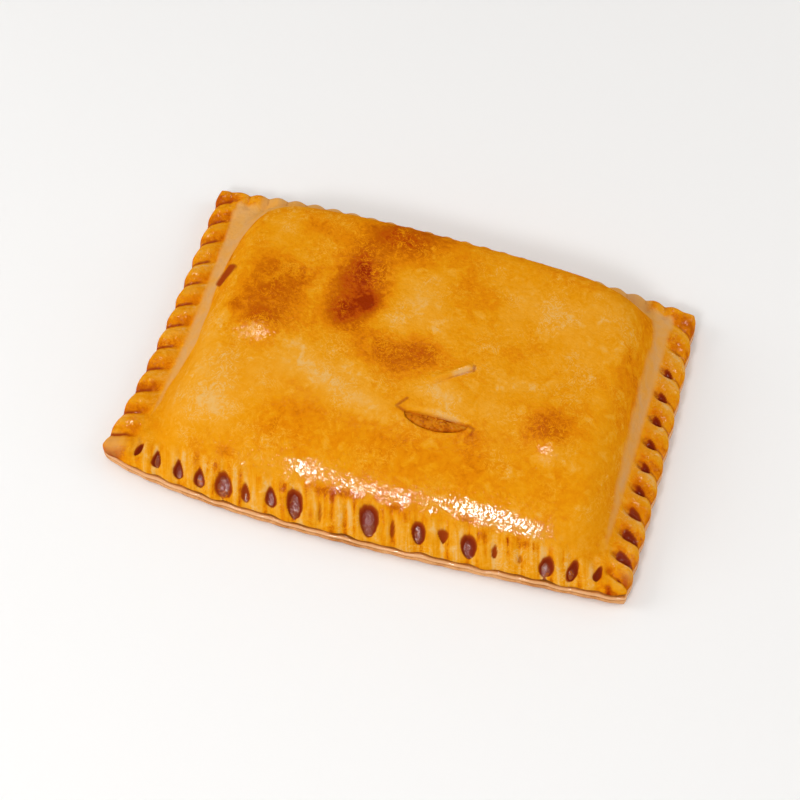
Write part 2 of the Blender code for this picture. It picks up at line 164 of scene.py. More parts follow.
# The front's pits, one row for each mark from the left: shift along the edge, half width,
# outer and inner end, depth, how dark (0 bare dough to 1 burnt juice), how far the bead
# of burnt juice fills the pit (0 for none), how much it narrows inwards, and its lean.
FRONT_PITS = (
    (-0.7, 0.8, 2.6, 7.4, 0.8, 0.9, 0.0, 0.0, 0.05),
    (-0.9, 1.3, 1.6, 6.8, 1.2, 1.0, 0.5, 0.6, -0.25),
    (-0.2, 1.4, 1.2, 6.0, 1.3, 1.0, 0.55, 0.65, -0.33),
    (-0.3, 1.6, 1.0, 5.6, 1.2, 0.9, 0.5, 0.5, -0.3),
    (0.1, 2.7, 0.5, 6.6, 1.4, 0.8, 1.1, 0.3, -0.33),
    (-0.2, 1.4, 1.0, 5.6, 0.9, 0.65, 0.3, 0.4, -0.4),
    (0.1, 1.7, 1.7, 6.3, 1.2, 0.95, 0.65, 0.4, -0.4),
    (0.1, 2.4, 0.6, 7.2, 1.5, 1.0, 0.95, -0.15, -0.38),
    (0.5, 0.7, 1.2, 6.4, 0.6, 0.35, 0.0, 0.3, -0.33),
    (0.6, 0.8, 1.2, 7.2, 0.5, 0.15, 0.0, 0.3, -0.33),
    (0.1, 2.8, 0.8, 8.0, 1.6, 1.0, 1.05, -0.3, -0.33),
    (-0.2, 0.8, 2.0, 6.6, 0.7, 0.45, 0.0, 0.4, -0.25),
    (0.0, 2.0, 1.8, 6.9, 1.4, 1.0, 0.75, -0.1, -0.33),
    (-0.4, 1.5, 3.2, 6.6, 0.8, 0.6, 0.0, -0.6, -0.33),
    (0.0, 2.3, 1.1, 6.6, 1.4, 1.0, 0.85, -0.15, -0.3),
    (0.0, 0.9, 2.4, 5.8, 0.7, 0.55, 0.0, 0.2, -0.2),
    (0.1, 0.8, 2.6, 5.0, 0.6, 0.35, 0.0, 0.3, -0.1),
    (0.5, 2.1, 0.6, 5.9, 1.4, 1.0, 0.7, 0.1, -0.05),
    (0.4, 1.5, 0.8, 7.2, 1.3, 0.95, 0.45, 0.15, 0.05),
    (0.0, 1.1, 2.4, 8.0, 1.0, 0.8, 0.0, 0.3, 0.1),
)
# The right side's pits, from the back: half width, outer and inner end, depth, darkness.
RIGHT_PITS = (
    (0.7, 2.0, 7.0, 0.2, 0.3),
    (0.9, 2.6, 7.0, 0.4, 0.35),
    (1.5, 3.4, 8.2, 0.9, 0.9),
    (1.6, 3.4, 8.4, 1.0, 0.95),
    (1.6, 3.4, 8.4, 1.0, 0.95),
    (1.6, 3.4, 8.4, 1.0, 0.95),
    (1.6, 3.4, 8.2, 1.0, 0.95),
    (1.5, 2.8, 8.2, 1.0, 0.9),
    (1.7, 1.8, 8.4, 0.9, 0.75),
    (1.6, 0.6, 8.4, 0.9, 0.95),
    (1.6, 0.5, 8.4, 0.9, 0.95),
    (0.9, 2.6, 6.4, 0.5, 0.55),
)
RIGHT_TAPER = -0.35
# How far from its mark a pit is worked out; how flat its floor is and how ragged its edge;
# and its raised lip: height, and how much wider and further out and in it reaches.
PIT_NEAR = 8.0
PIT_FLATNESS = 7
PIT_RAGGED = 0.06
PIT_LIP = 0.2
PIT_LIP_REACH = (1.1, 0.6, 1.2)
# How far before a right pit's inner end its burnt floor ends, and over what distance; how
# dark the pit is past that, and how much its wrinkles show there.
RIGHT_FLOOR_END = (1.6, 1.2)
RIGHT_PALE = 0.42
RIGHT_WRINKLE = 0.4
# The pressed wall under the front shoulder: the inset of its top, and over what distance
# it ends. Its fine pleats: spacing, how they wander (amount, rate and phase), height of a
# crest over a crease, the level between them, and where they start and end.
FRONT_WALL = (9.0, 2.0)
PLEAT_SPACING = 3.5
PLEAT_WANDER = ((0.22, 0.71, 0.0), (0.3, 0.29, 1.0))
PLEAT_SHARPNESS = 0.8
PLEAT_HEIGHT = 0.4
PLEAT_LEVEL = 0.65
PLEATS_START = (0.5, 1.5)
PLEATS_END = (72.0, 5.0)

# Rises and dents of the lid: place, height and radius.
LID_BUMPS = (
    (-47.5, 4.0, 0.9, 10.0),
    (-45.4, -5.4, 0.8, 4.5),
    (47.0, -11.0, 0.8, 9.0),
    (49.0, -21.0, 0.8, 4.5),
    (14.0, -12.0, 0.5, 9.0),
    (-1.4, -1.2, -0.6, 11.0),
    (-18.0, 14.0, -0.7, 10.0),
    (44.0, 22.0, 0.5, 14.0),
    (-34.0, -26.0, 0.4, 12.0),
)
LID_WAVE = 0.3
LID_WAVE_LENGTHS = (69.0, 57.0)

# The vent, a slit opened like an eye, and the shallow score behind it. The score starts
# and ends over a share of its length.
SLIT_LEFT = (4.0, -19.7)
SLIT_RIGHT = (23.2, -19.6)
SLIT_BACK_LIP = 1.1
SLIT_FRONT_LIP = 3.6
SLIT_BLUNTNESS = 0.5
SLIT_SPREAD = 14.0
SLIT_SHIFT_FADE = 16.0
SLIT_ROUNDING = 0.9
SLIT_DROP = 0.5
# How far the filling stays below the lid along the slit's front lip.
FRONT_LIP_GAP = 0.25
SCORE_LEFT = (7.4, -11.3)
SCORE_RIGHT = (19.6, -2.6)
SCORE_START = (0.0, 0.35)
SCORE_END = (1.06, 0.12)
SCORE_WIDTH = 0.45
SCORE_DEPTH = 0.6
# How far behind the score its raised edge is, and how high.
SCORE_RIDGE = (1.3, 0.75)
# Fine creases running off the vent's two ends and the score's end: from and to.
CREASES = (
    ((3.6, -15.9), (1.3, -18.7)),
    ((1.3, -18.7), (4.2, -19.7)),
    ((23.0, -19.5), (25.0, -20.2)),
    ((25.0, -20.2), (24.6, -22.0)),
    ((19.7, -2.7), (19.5, -1.2)),
)
CREASE_SPREAD = 0.75
CREASE_DEPTH = 0.2

# Spacing of the lid's grid: fine at the rim, finest across the vent.
RIM_STEP = 0.37
RIM_REACH = 13.0
LID_STEP = 0.5
VENT_STEP = 0.3
VENT_REACH = (5.5, 18.5)
LINING_STEP = 4.0

# Rings of the rim's outer edge: inset, share of the way down to the seam, and shade: how much of
# the seam shade colour, a painted shade, the ring takes.
EDGE_ROLL = ((0.05, 0.35, 0.1), (0.2, 0.75, 0.5), (0.4, 1.0, 1.0))
# Rings of the slit's wall: share of the crust's thickness, and bulge into the opening.
SLIT_WALL = ((0.18, 0.3), (0.45, 0.45), (0.75, 0.35), (1.0, 0.0))
# How much painted shade the slit's wall takes at its foot; less higher up.
SLIT_WALL_SHADE = 0.55
# The lower sheet's edge: inset, height, how much it follows the seam's waves, and tone
# (-1 moist and pale, 0 tan, 1 browned).
LOWER_PROFILE = (
    (6.0, 0.0, 0.0, 0.3),
    (1.5, 0.0, 0.0, 0.4),
    (0.85, 0.12, 0.0, 0.6),
    (0.45, 0.42, 0.0, 0.4),
    (0.18, 0.9, 0.1, 0.35),
    (0.03, 1.5, 0.25, 0.2),
    (0.0, 2.0, 0.4, 0.1),
    (0.1, 2.4, 0.6, 0.25),
    (0.24, 2.66, 0.8, 0.85),
    (0.1, 2.95, 0.9, -0.3),
    (0.04, 3.2, 1.0, -0.8),
    (0.14, 3.45, 1.0, -0.9),
    (0.4, 3.7, 1.0, -0.5),
    (0.8, 3.72, 1.0, 0.6),
    (2.0, 3.7, 1.0, 1.0),
    (6.0, 3.7, 1.0, 1.0),
)
LOWER_STATIONS = (320, 208)
LOWER_SCALLOP = {"front": 0.25, "right": 0.6, "back": 0.5, "left": 0.5}
# The lip's own wobble: height, and wave lengths in x and in y.
LIP_WOBBLE = (0.12, 11.3, 9.1)
# The filling: the step of its grid, where it wells up in the vent, where it sinks again
# towards the back lip and how far, how lumpy it is and how much calmer at the back.
MOUND_STEP = 1.6
WELL_START = (-0.55, 0.6)
SINK_START = (-1.6, 2.0)
SINK_DEPTH = 1.1
FILLING_LUMPS = (0.22, 0.12)
BACK_CALM = 0.6
# The bits strewn on it: how far inside the vent they start, and the smallest bit's size
# and the height of the bits' lumps as shares of the largest bit's size.
STREWN_INSET = 1.3
SMALLEST_BIT = 0.45
BIT_LUMPS = 0.7
# How far in from the edge the skin's own relief reaches its full height.
RELIEF_START = (0.0, 5.0)
# What the noise that shapes the skin is about, on average.
RELIEF_MIDDLE = 0.55
# The beads of burnt juice: half the reach over which their slope is taken, and how deep they sit;
# the thinnest one; and the height under which the juice is paler, partly a painted sheen.
BEAD_STEP = 0.5
BEAD_SINK = 0.25
BEAD_LEAST = 0.3
PALE_JUICE_TOP = 9.2
# Behind this the glaze's gloss grows softer.
SHOULDER_Y = -34.0

# The stage and the camera, in metres and degrees.
FLOOR_HALF = 3.0
FLOOR_DROP = 0.0002
# Lights: place, size, and whether one only shows as reflections (on the front shoulder,
# the blisters and the rims).
LIGHTS = {
    "key": ((-0.1, -0.69, 0.67), 0.2, False),
    "fill": ((-0.75, -0.15, 0.5), 0.5, False),
    "right": ((0.8, 0.25, 0.55), 0.6, False),
    "shine": ((-0.11, -0.71, 0.7), 0.26, True),
    "top": ((-0.23, 0.26, 0.94), 0.36, True),
    "back": ((0.4, 0.85, 0.5), 0.8, True),
}
ROOM_COLOUR = (1.0, 0.985, 0.965, 1.0)
AZIMUTH = 17.43
ELEVATION = 57.3
CAMERA_DISTANCE = 0.5486
LOOK_AT = (-0.00151, -0.0038, 0.0)
LENS = 81.0
SENSOR = 36.0


def mix(a, b, share):
    """a at share 0, b at share 1, and between them on the way."""
    return a + (b - a) * share


def smooth(t):
    """0 up to 0 and 1 from 1 on, with a soft slope between them."""
    t = np.clip(t, 0.0, 1.0)
    return t * t * (3.0 - 2.0 * t)


def past(place, start):
    """0 up to a start and 1 past it. start is its place, and over what distance."""
    return smooth((place - start[0]) / start[1])


def before(place, end):
    """1 well before an end and 0 from there on. end is its place, and over what distance."""
    return smooth((end[0] - place) / end[1])


def bell(t):
    """1 at 0, falling away softly on both sides."""
    return np.exp(-(t**2))


def wave(place, length, phase=0.0):
    """A wave of this length along a place, from -1 to 1."""
    return np.sin(2 * np.pi * place / length + phase)


def unit(vectors):
    return vectors / np.linalg.norm(vectors, axis=-1, keepdims=True)


# Plan: the bowed outline


def share_along(place, half):
    """Share of the way from -half to half, from 0 to 1."""
    return np.clip((place + half) / (2 * half), 0.0, 1.0)


def front_edge(x):
    t = share_along(x, HALF_LENGTH)
    return mix(FRONT_LEFT_Y, FRONT_RIGHT_Y, t) - FRONT_BOW * np.sin(np.pi * t**FRONT_BOW_SKEW)


def back_edge(x):
    t = share_along(x, HALF_LENGTH)
    return mix(BACK_LEFT_Y, BACK_RIGHT_Y, t) + BACK_BOW * np.sin(np.pi * t)


def left_edge(y):
    t = share_along(y, HALF_WIDTH)
    return LEFT_X + LEFT_HOLLOW * np.sin(np.pi * t**LEFT_HOLLOW_SKEW)


def right_edge(y):
    t = share_along(y, HALF_WIDTH)
    return mix(RIGHT_FRONT_X, RIGHT_BACK_X, t) + RIGHT_BOW * np.sin(np.pi * t)


def plan(x, y):
    """The place in the bowed outline of a point of the nominal rectangle."""
    along = (x + HALF_LENGTH) / (2 * HALF_LENGTH)
    across = (y + HALF_WIDTH) / (2 * HALF_WIDTH)
    return mix(left_edge(y), right_edge(y), along), mix(front_edge(x), back_edge(x), across)


def frame_centre():
    """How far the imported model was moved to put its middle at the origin."""
    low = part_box("bottom_crust")[0]
    stations = np.linspace(-HALF_LENGTH, HALF_LENGTH, 1601)
    return np.array([LEFT_X - low.x / MM, front_edge(stations).min() - low.y / MM, 0.0])


CENTRE = frame_centre()


def insets(x, y):
    """Distance in from each side of the nominal rectangle, and the place along it."""
    return {
        "front": (y + HALF_WIDTH, x, HALF_LENGTH),
        "right": (HALF_LENGTH - x, y, HALF_WIDTH),
        "back": (HALF_WIDTH - y, x, HALF_LENGTH),
        "left": (x + HALF_LENGTH, y, HALF_WIDTH),
    }


def nearest_edge(x, y):
    """Distance in from the nearest side of the nominal rectangle."""
    return np.minimum(HALF_LENGTH - np.abs(x), HALF_WIDTH - np.abs(y))


def before_corners(x):
    """1 along the front, falling to 0 short of its two corners."""
    return before(np.abs(x), PLEATS_END)


# Crimped rim


def mark_place(side, index):
    """The place of a crimp mark along its side."""
    _, first, pitch, change, crowd = MARKS[side]
    return first + pitch * index + change * index**2 - crowd * (1 - np.exp(-index / CROWD_MARKS))


def lean(side, along, inset):
    """The place along a side where the groove through a point meets the rim."""
    return along - GROOVE_LEAN[side] * (np.minimum(inset, HOLLOW_INSET) - LEAN_INSET)


def mark_phase(side, along):
    """A whole number on each mark and a half between two marks."""
    indices = np.arange(-1.0, MARKS[side][0] + 1.0)
    places = mark_place(side, np.maximum(indices, 0.0))
    places = places + np.minimum(indices, 0.0) * MARKS[side][2]
    order = np.argsort(places)
    return np.interp(along, places[order], indices[order])


def groove(side, along, half):
    """1 in a groove and 0 on a ridge's crest, fading out at the corners."""
    ridge = np.abs(np.sin(np.pi * mark_phase(side, along))) ** GROOVE_SHARPNESS
    fade = BACK_CORNER_FADE if side == "back" else CORNER_FADE
    return (1.0 - ridge) * smooth((half - np.abs(along)) / fade)


def crease(side, along, half):
    """The narrow line at the bottom of a groove, from 0 to 1."""
    phase = mark_phase(side, along)
    distance = (phase - np.round(phase)) * abs(MARKS[side][2])
    return bell(distance / CREASE_WIDTH) * smooth((half - np.abs(along)) / CORNER_FADE)


def fine_crease(side, line):
    """The fine creases across a side's ridges, fewer and weaker on some."""
    phase = mark_phase(side, line)
    share = np.abs(np.sin(np.pi * (phase * FINE_CREASES[side][0] + 0.15 * np.sin(phase * 5.0))))
    apart = past(np.abs(phase - np.round(phase)), FINE_CREASE_START)
    strength = apart * mix(0.1, 1.0, uneven(np.floor(phase) + 3.0))
    return bell(share / FINE_CREASE_WIDTH) * strength


def uneven(index):
    """A share from 0 to 1 that differs from one crimp mark to the next."""
    return 0.5 + 0.5 * np.sin(index * 2.4 + 0.9 * np.sin(index * 1.7))


def back_lift(x, y):
    """Where the rim stands proud at the back left, from 0 to 1."""
    return bell((x - BACK_LIFT[0]) / BACK_LIFT[1]) * smooth(1.0 - (HALF_WIDTH - y) / BACK_LIFT_FADE)


def pit_shape(across, width, inset, outer, inner, taper):
    """A rounded, slightly ragged pit: 1 in its middle, 0 outside, steep at its edge."""
    inwards = (inset - (outer + inner) / 2) / ((inner - outer) / 2)
    width = width * (1.0 - taper * np.clip(inwards, -1.0, 1.0))
    ragged = 1.0 + PIT_RAGGED * np.sin(2.9 * across + 2.1 * inset + 7.0 * outer)
    radius = ((across / width) ** 2 + inwards**2) * ragged
    return np.exp(-(radius ** (PIT_FLATNESS / 2)) * 0.9)


def front_pits(x, y):
    """Depth, darkness and raised lip of the pits along the front."""
    wider, further_out, further_in = PIT_LIP_REACH
    inset = y + HALF_WIDTH
    depth = np.zeros_like(x)
    dark = np.zeros_like(x)
    lip = np.zeros_like(x)
    for mark, pit in enumerate(FRONT_PITS):
        shift, width, outer, inner, deep, darkness, _, taper, slant = pit
        place = mark_place("front", float(mark)) + shift
        near = np.abs(x - place) < PIT_NEAR
        across = x[near] - place - slant * (inset[near] - (outer + inner) / 2)
        shape = pit_shape(across, width, inset[near], outer, inner, taper)
        outer, inner = outer - further_out, inner + further_in
        around = pit_shape(across, width + wider, inset[near], outer, inner, taper)
        depth[near] += deep * shape
        dark[near] = np.maximum(dark[near], darkness * shape)
        lip[near] = np.maximum(lip[near], np.clip(around - shape, 0.0, 1.0))
    return depth, dark, lip


def right_pits(x, y):
    """Depth and darkness of the pits along the right side, wrinkled at their inner ends."""
    inset = HALF_LENGTH - x
    along = lean("right", y, inset)
    depth = np.zeros_like(x)
    dark = np.zeros_like(x)
    for mark, (width, outer, inner, deep, darkness) in enumerate(RIGHT_PITS):
        across = along - mark_place("right", float(mark))
        near = (np.abs(across) < PIT_NEAR) & (inset < RIM_REACH)
        across = across[near]
        shape = pit_shape(across, width, inset[near], outer, inner, RIGHT_TAPER)
        depth[near] += deep * shape
        floor = before(inset[near], (inner - RIGHT_FLOOR_END[0], RIGHT_FLOOR_END[1]))
        wrinkle = np.clip(np.sin(across * 4.0 + mark), 0.0, 1.0) * (1.0 - floor)
        shade = shape * mix(RIGHT_PALE, 1.0, floor) * (1.0 - RIGHT_WRINKLE * wrinkle)
        dark[near] = np.maximum(dark[near], darkness * shade)
    return depth, dark


def pleats(x, y):
    """The front wall's fine pleats: 1 on a crest, 0 in a crease."""
    inset, along, _ = insets(x, y)["front"]
    line = lean("front", along, inset)
    turn = line / PLEAT_SPACING
    for amount, rate, phase in PLEAT_WANDER:
        turn = turn + amount * np.sin(line * rate + phase)
    return np.abs(np.sin(np.pi * turn)) ** PLEAT_SHARPNESS


def front_wall(inset):
    """1 on the pressed wall under the front shoulder, 0 above it."""
    return before(inset, FRONT_WALL)


def crimp_relief(x, y):
    """Height that grooves, ridges and pits add to the rim."""
    total = 0.0
    for side, (inset, along, half) in insets(x, y).items():
        depth, sharp, inner_end, _ = GROOVES[side]
        line = lean(side, along, inset)
        reach = smooth((inner_end - inset) / GROOVE_FADE + 0.5)
        start = mix(GROOVE_START, 1.0, smooth(inset / GROOVE_START_REACH))
        pillow = RIDGE_CROWN[side] * np.sin(np.pi * np.clip(inset / inner_end, 0.0, 1.0))
        ends = smooth((half - np.abs(along)) / CORNER_FADE)
        pressed = depth * groove(side, line, half) + sharp * crease(side, line, half)
        pressed = pressed + FINE_CREASES[side][1] * fine_crease(side, line) * ends
        total = total + (pillow * ends - pressed * start) * reach
    front_depth, _, front_lip = front_pits(x, y)
    inset = y + HALF_WIDTH
    pleated = (pleats(x, y) - PLEAT_LEVEL) * front_wall(inset) * past(inset, PLEATS_START)
    total = total + PLEAT_HEIGHT * pleated * (1.0 - np.minimum(front_depth, 1.0))
    return total - front_depth + PIT_LIP * front_lip - right_pits(x, y)[0]


def side_shift(x, y, pull):
    """How far each side's pull and the corners' rounding draw in, in x and in y."""
    away = HALF_LENGTH + HALF_WIDTH - np.abs(x) - np.abs(y)
    corner = CORNER_ROUNDING[0] * np.exp(-away / CORNER_ROUNDING[1])
    shift_x = pull["left"] - pull["right"] - np.sign(x) * corner
    return shift_x, pull["front"] - pull["back"] - np.sign(y) * corner


def merge(x, y):
    """1 at the corner where the two sheets run into each other, 0 away from it."""
    away = np.hypot(x - MERGE_PLACE[0], y - MERGE_PLACE[1])
    return smooth(1.0 - away / MERGE_REACH)


def seam_wave(x, y):
    """The seam's uneven wave, running on round the corners."""
    place = x + SEAM_SLANT * y
    total = np.zeros_like(x)
    for length, phase, height in SEAM_WAVES:
        total = total + height * wave(place, length, phase)
    return total


def upper_shift(x, y):
    """How far the upper sheet's edge stands back from the outline, in x and in y."""
    pull = {}
    merged = merge(x, y)
    for side, (inset, along, half) in insets(x, y).items():
        scallop = GROOVES[side][3] * groove(side, lean(side, along, inset), half)
        setback = UPPER_SETBACK[side] * (1.0 - merged) * (1.0 + SEAM_WANDER * seam_wave(x, y))
        pull[side] = (setback + scallop) * np.exp(-inset / PULL_REACH)
    pushed = BACK_LIFT[3] * back_lift(x, y) * np.exp(-(HALF_WIDTH - y) / PULL_REACH)
    pull["back"] = pull["back"] - pushed
    return side_shift(x, y, pull)


# Lid: the upper sheet over the filling


def climb_share(inset, climb):
    """How much of the way up the lid is at an inset, from 0 to 1."""
    start, length, power = climb
    return 1.0 - np.exp(-((np.maximum(inset - start, 0.0) / length) ** power))


def dome(x, y):
    """How far the lid rises over the rim."""
    share = 1.0
    for side, (inset, _, _) in insets(x, y).items():
        share = share * climb_share(inset, CLIMB[side])
    diagonal = (HALF_LENGTH + HALF_WIDTH - np.abs(x) - np.abs(y)) / np.sqrt(2.0)
    ahead = climb_share(diagonal, FRONT_CORNER_CLIMB)
    behind = climb_share(diagonal, BACK_CORNER_CLIMB)
    share = share * mix(ahead, behind, smooth(0.5 + y / CORNER_CHANGE))
    crown = (1.0 - (x / HALF_LENGTH) ** 2) * (1.0 - (y / HALF_WIDTH) ** 2)
    return DOME_RISE * share * (1.0 - CROWN_SHARE * (1.0 - crown))


def lid_relief(x, y):
    """The lid's own unevenness: a long wave, rises and dents."""
    length_x, length_y = LID_WAVE_LENGTHS
    total = LID_WAVE * wave(x, length_x, 1.0) * wave(y, length_y, 0.5)
    for place_x, place_y, height, radius in LID_BUMPS:
        total = total + height * bell(np.hypot(x - place_x, y - place_y) / radius)
    return total


def along_line(x, y, start, end):
    """Share of the way along a line, and the distance to its left."""
    dx, dy = end[0] - start[0], end[1] - start[1]
    length = math.hypot(dx, dy)
    share = ((x - start[0]) * dx + (y - start[1]) * dy) / length**2
    return share, ((y - start[1]) * dx - (x - start[0]) * dy) / length


def score_relief(x, y):
    """The shallow score: a thin cut, with its back edge raised."""
    share, across = along_line(x, y, SCORE_LEFT, SCORE_RIGHT)
    ends = past(share, SCORE_START) * before(share, SCORE_END)
    away, height = SCORE_RIDGE
    return (height * bell(across - away) - SCORE_DEPTH * bell(across / SCORE_WIDTH)) * ends


def fine_creases(x, y):
    """1 on the fine creases round the vent, 0 away from them."""
    found = np.zeros_like(x)
    for start, end in CREASES:
        share, _ = along_line(x, y, start, end)
        share = np.clip(share, 0.0, 1.0)
        away = np.hypot(x - mix(start[0], end[0], share), y - mix(start[1], end[1], share))
        found = np.maximum(found, bell(away / CREASE_SPREAD))
    return found


def smooth_height(x, y):
    """Height of the upper sheet without its crimps, score and creases."""
    climb = dome(x, y)
    return RIM_Z + climb + lid_relief(x, y) * climb / DOME_RISE


def upper_height(x, y):
    """Height of the upper sheet's outer face, rounded at its edge."""
    edge = (RIM_Z - EDGE_Z) * np.clip(1.0 - nearest_edge(x, y) / EDGE_ROUND, 0.0, 1.0) ** 2
    relief = crimp_relief(x, y) + score_relief(x, y) - CREASE_DEPTH * fine_creases(x, y)
    return smooth_height(x, y) - edge + relief + BACK_LIFT[2] * back_lift(x, y)


def upper_surface(x, y):
    """Points of the upper sheet's outer face."""
    shift_x, shift_y = upper_shift(x, y)
    place_x, place_y = plan(x, y)
    return np.stack([place_x + shift_x, place_y + shift_y, upper_height(x, y)], axis=-1)


def smooth_surface(x, y):
    """Points of the upper sheet without its crimps, for the faces inside it."""
    return np.stack([*plan(x, y), smooth_height(x, y)], axis=-1)


def slope(x, y, step_x, step_y):
    """How the smooth face runs from a step before a place to a step past it."""
    return smooth_surface(x + step_x, y + step_y) - smooth_surface(x - step_x, y - step_y)


def inner_surface(x, y, depth, floor):
    """The smooth outer face set in by a depth along its normal, above a floor."""
    normal = unit(np.cross(slope(x, y, NORMAL_STEP, 0.0), slope(x, y, 0.0, NORMAL_STEP)))
    points = smooth_surface(x, y) - normal * depth
    points[..., 2] = np.maximum(points[..., 2], floor)
    return points


def seam_height(x, y):
    """Height of the seam between the two sheets, slightly wavy at the edge."""
    inset, along, half = insets(x, y)["front"]
    scallop = groove("front", lean("front", along, inset), half) * smooth(1.0 - inset / SEAM_FADE)
    rise = seam_wave(x, y) * smooth(1.0 - nearest_edge(x, y) / SEAM_FADE)
    return SEAM_Z + rise - SEAM_SCALLOP * (scallop - 0.5 * smooth(1.0 - inset / SEAM_FADE))


# The vent's slit


def slit_share(x):
    """Share of the way along the slit, kept between 0 and 1."""
    return np.clip((x - SLIT_LEFT[0]) / (SLIT_RIGHT[0] - SLIT_LEFT[0]), 0.0, 1.0)


def slit_line(x):
    """The slit's middle line, running on level past both of its ends."""
    return mix(SLIT_LEFT[1], SLIT_RIGHT[1], slit_share(x))


def lip_reach(x, back):
    """How far the slit's back or front lip stands from its middle line."""
    return np.where(back, SLIT_BACK_LIP, SLIT_FRONT_LIP) * slit_opening(x)


def slit_opening(x):
    """How far open the slit is at a place, from 0 to 1."""
    return np.sin(np.pi * slit_share(x)) ** SLIT_BLUNTNESS


SLIT_ROW = (SLIT_LEFT[1] + SLIT_RIGHT[1]) / 2


def parted(x, y, back):
    """Where a grid point goes when the grid is drawn to the slit and parted there.

    back is True on the slit's back side and False on its front side.
    """
    off = y - SLIT_ROW
    past = np.maximum(np.maximum(SLIT_LEFT[0] - x, x - SLIT_RIGHT[0]), 0.0)
    hold = smooth(1.0 - past / SLIT_SHIFT_FADE) * smooth(1.0 - np.abs(off) / SLIT_SPREAD)
    push = lip_reach(x, back) * np.clip(1.0 - np.abs(off) / SLIT_SPREAD, 0.0, 1.0)
    return y + (slit_line(x) - SLIT_ROW) * hold + np.where(back, push, -push)


def lip_drop(x, y, back):
    """How far the crust rolls down towards the slit's lip."""
    lip = lip_reach(x, back)
    distance = np.abs(y - slit_line(x)) - lip
    inside = (x > SLIT_LEFT[0]) & (x < SLIT_RIGHT[0])
    roll = np.clip(1.0 - np.maximum(distance, 0.0) / SLIT_ROUNDING, 0.0, 1.0) ** 2
    return np.where(inside, SLIT_DROP * roll * np.minimum(1.0, lip), 0.0)


# Browning: how the oven coloured the glaze


# Patches browner than the rest: place, strength, half length and width, and the turn in
# degrees where there is one.
BROWN_PATCHES = (
    (-22.0, 17.5, 0.95, 8.4, 9.5),
    (-20.5, 8.5, 0.85, 7.6, 4.4, 18.0),
    (-16.8, 11.0, 0.75, 2.4, 2.0),
    (-24.5, 7.5, 0.4, 3.4, 3.0),
    (-21.5, 3.0, 0.4, 5.4, 3.2),
    (-23.0, 25.0, 0.35, 2.6, 5.0),
    (-20.5, 20.0, 0.4, 3.0, 1.6, -30.0),
    (-47.0, 4.4, 0.64, 10.0, 11.0),
    (-45.0, -2.0, 0.2, 8.0, 4.0),
    (-56.5, 0.0, 0.55, 2.6, 2.0),
    (-49.0, 16.0, 0.16, 5.0, 5.0),
    (-39.0, 10.0, 0.14, 5.0, 7.0),
    (-3.0, -4.6, 0.74, 10.0, 6.2, 4.0),
    (3.0, -1.0, 0.22, 6.0, 3.4),
    (-13.0, 35.5, 0.62, 14.0, 8.5, 8.0),
    (-21.0, 33.0, 0.2, 6.0, 4.0),
    (-40.0, 33.0, 0.22, 6.0, 2.4, -10.0),
    (46.0, -12.8, 0.6, 8.0, 6.8),
    (41.0, -17.0, 0.24, 4.0, 4.0),
    (28.0, 6.0, 0.16, 7.0, 3.2, 10.0),
    (24.5, -21.0, 0.22, 4.0, 5.0),
    (10.0, 24.0, 0.14, 12.0, 7.0),
    (-10.0, -31.0, 0.18, 30.0, 6.0, -2.0),
    (25.0, -30.0, 0.14, 14.0, 6.0),
    (66.0, 10.0, 0.14, 4.0, 26.0),
    (-8.0, -43.4, 0.7, 8.0, 1.0, 2.0),
    (10.0, -44.0, 0.55, 2.6, 1.0),
    (30.5, -42.4, 0.45, 3.5, 1.0),
    (46.5, -45.0, 0.5, 4.0, 1.2),
    (-42.5, -41.5, 0.4, 4.0, 1.5),
    (-52.0, -42.0, 0.25, 3.0, 1.5),
    (76.5, -48.0, 0.35, 4.0, 3.5),
    (-77.0, -51.0, 0.8, 5.0, 3.5),
    (74.0, -50.5, 0.6, 0.8, 3.4, 12.0),
    (78.2, -47.5, 0.5, 0.8, 2.6, 24.0),
    (71.0, -49.0, 0.45, 0.7, 3.0, 6.0),
    (76.5, -52.5, 0.5, 3.0, 0.8, -10.0),
    (77.0, 48.0, 0.32, 4.0, 4.0),
    (-78.0, 50.0, 0.3, 3.0, 3.0),
)
# Patches paler than the rest. The last four are partly painted highlights: the two blisters'
# glints, the score's raised edge and the slit's back lip.
PALE_PATCHES = (
    (-5.5, 19.0, 0.45, 5.0, 7.0, 20.0),
    (0.5, 22.0, 0.4, 6.0, 8.0),
    (-7.8, 7.0, 0.45, 4.8, 3.0, -20.0),
    (-33.0, -9.0, 0.4, 5.0, 3.5),
    (-22.5, -17.5, 0.45, 8.0, 3.0, -25.0),
    (-35.0, -17.0, 0.35, 8.0, 5.0),
    (-11.0, -19.5, 0.55, 6.0, 3.2, -10.0),
    (-15.0, -12.5, 0.35, 6.0, 4.0),
    (-5.0, -20.5, 0.4, 5.0, 2.5),
    (12.5, -12.5, 0.6, 7.0, 3.6, -15.0),
    (-53.0, -32.0, 0.45, 9.0, 6.0),
    (-46.0, -30.0, 0.3, 9.0, 6.0),
    (-57.0, -19.0, 0.35, 8.0, 9.0),
    (-60.0, -4.0, 0.2, 5.0, 10.0),
    (32.0, -14.5, 0.35, 7.0, 5.0),
    (33.0, -3.0, 0.25, 8.0, 4.0),
    (38.0, 22.0, 0.35, 9.0, 6.0, 10.0),
    (52.0, 15.0, 0.2, 8.0, 8.0),
    (25.0, 25.0, 0.25, 5.0, 3.0),
    (55.0, 30.0, 0.25, 8.0, 6.0),
    (-33.0, 12.0, 0.3, 2.6, 9.0, -10.0),
    (5.0, 12.0, 0.25, 12.0, 6.0, 20.0),
    (-28.0, -12.0, 0.25, 12.0, 5.0),
    # Painted highlights over paler glaze, from here to the end.
    (-45.4, -6.7, 0.3, 4.0, 3.0),
    (16.5, -4.2, 1.2, 4.0, 1.1, 36.0),
    (14.0, -18.3, 0.6, 8.5, 0.7, -3.0),
    (49.0, -22.4, 0.4, 3.6, 2.6),
)
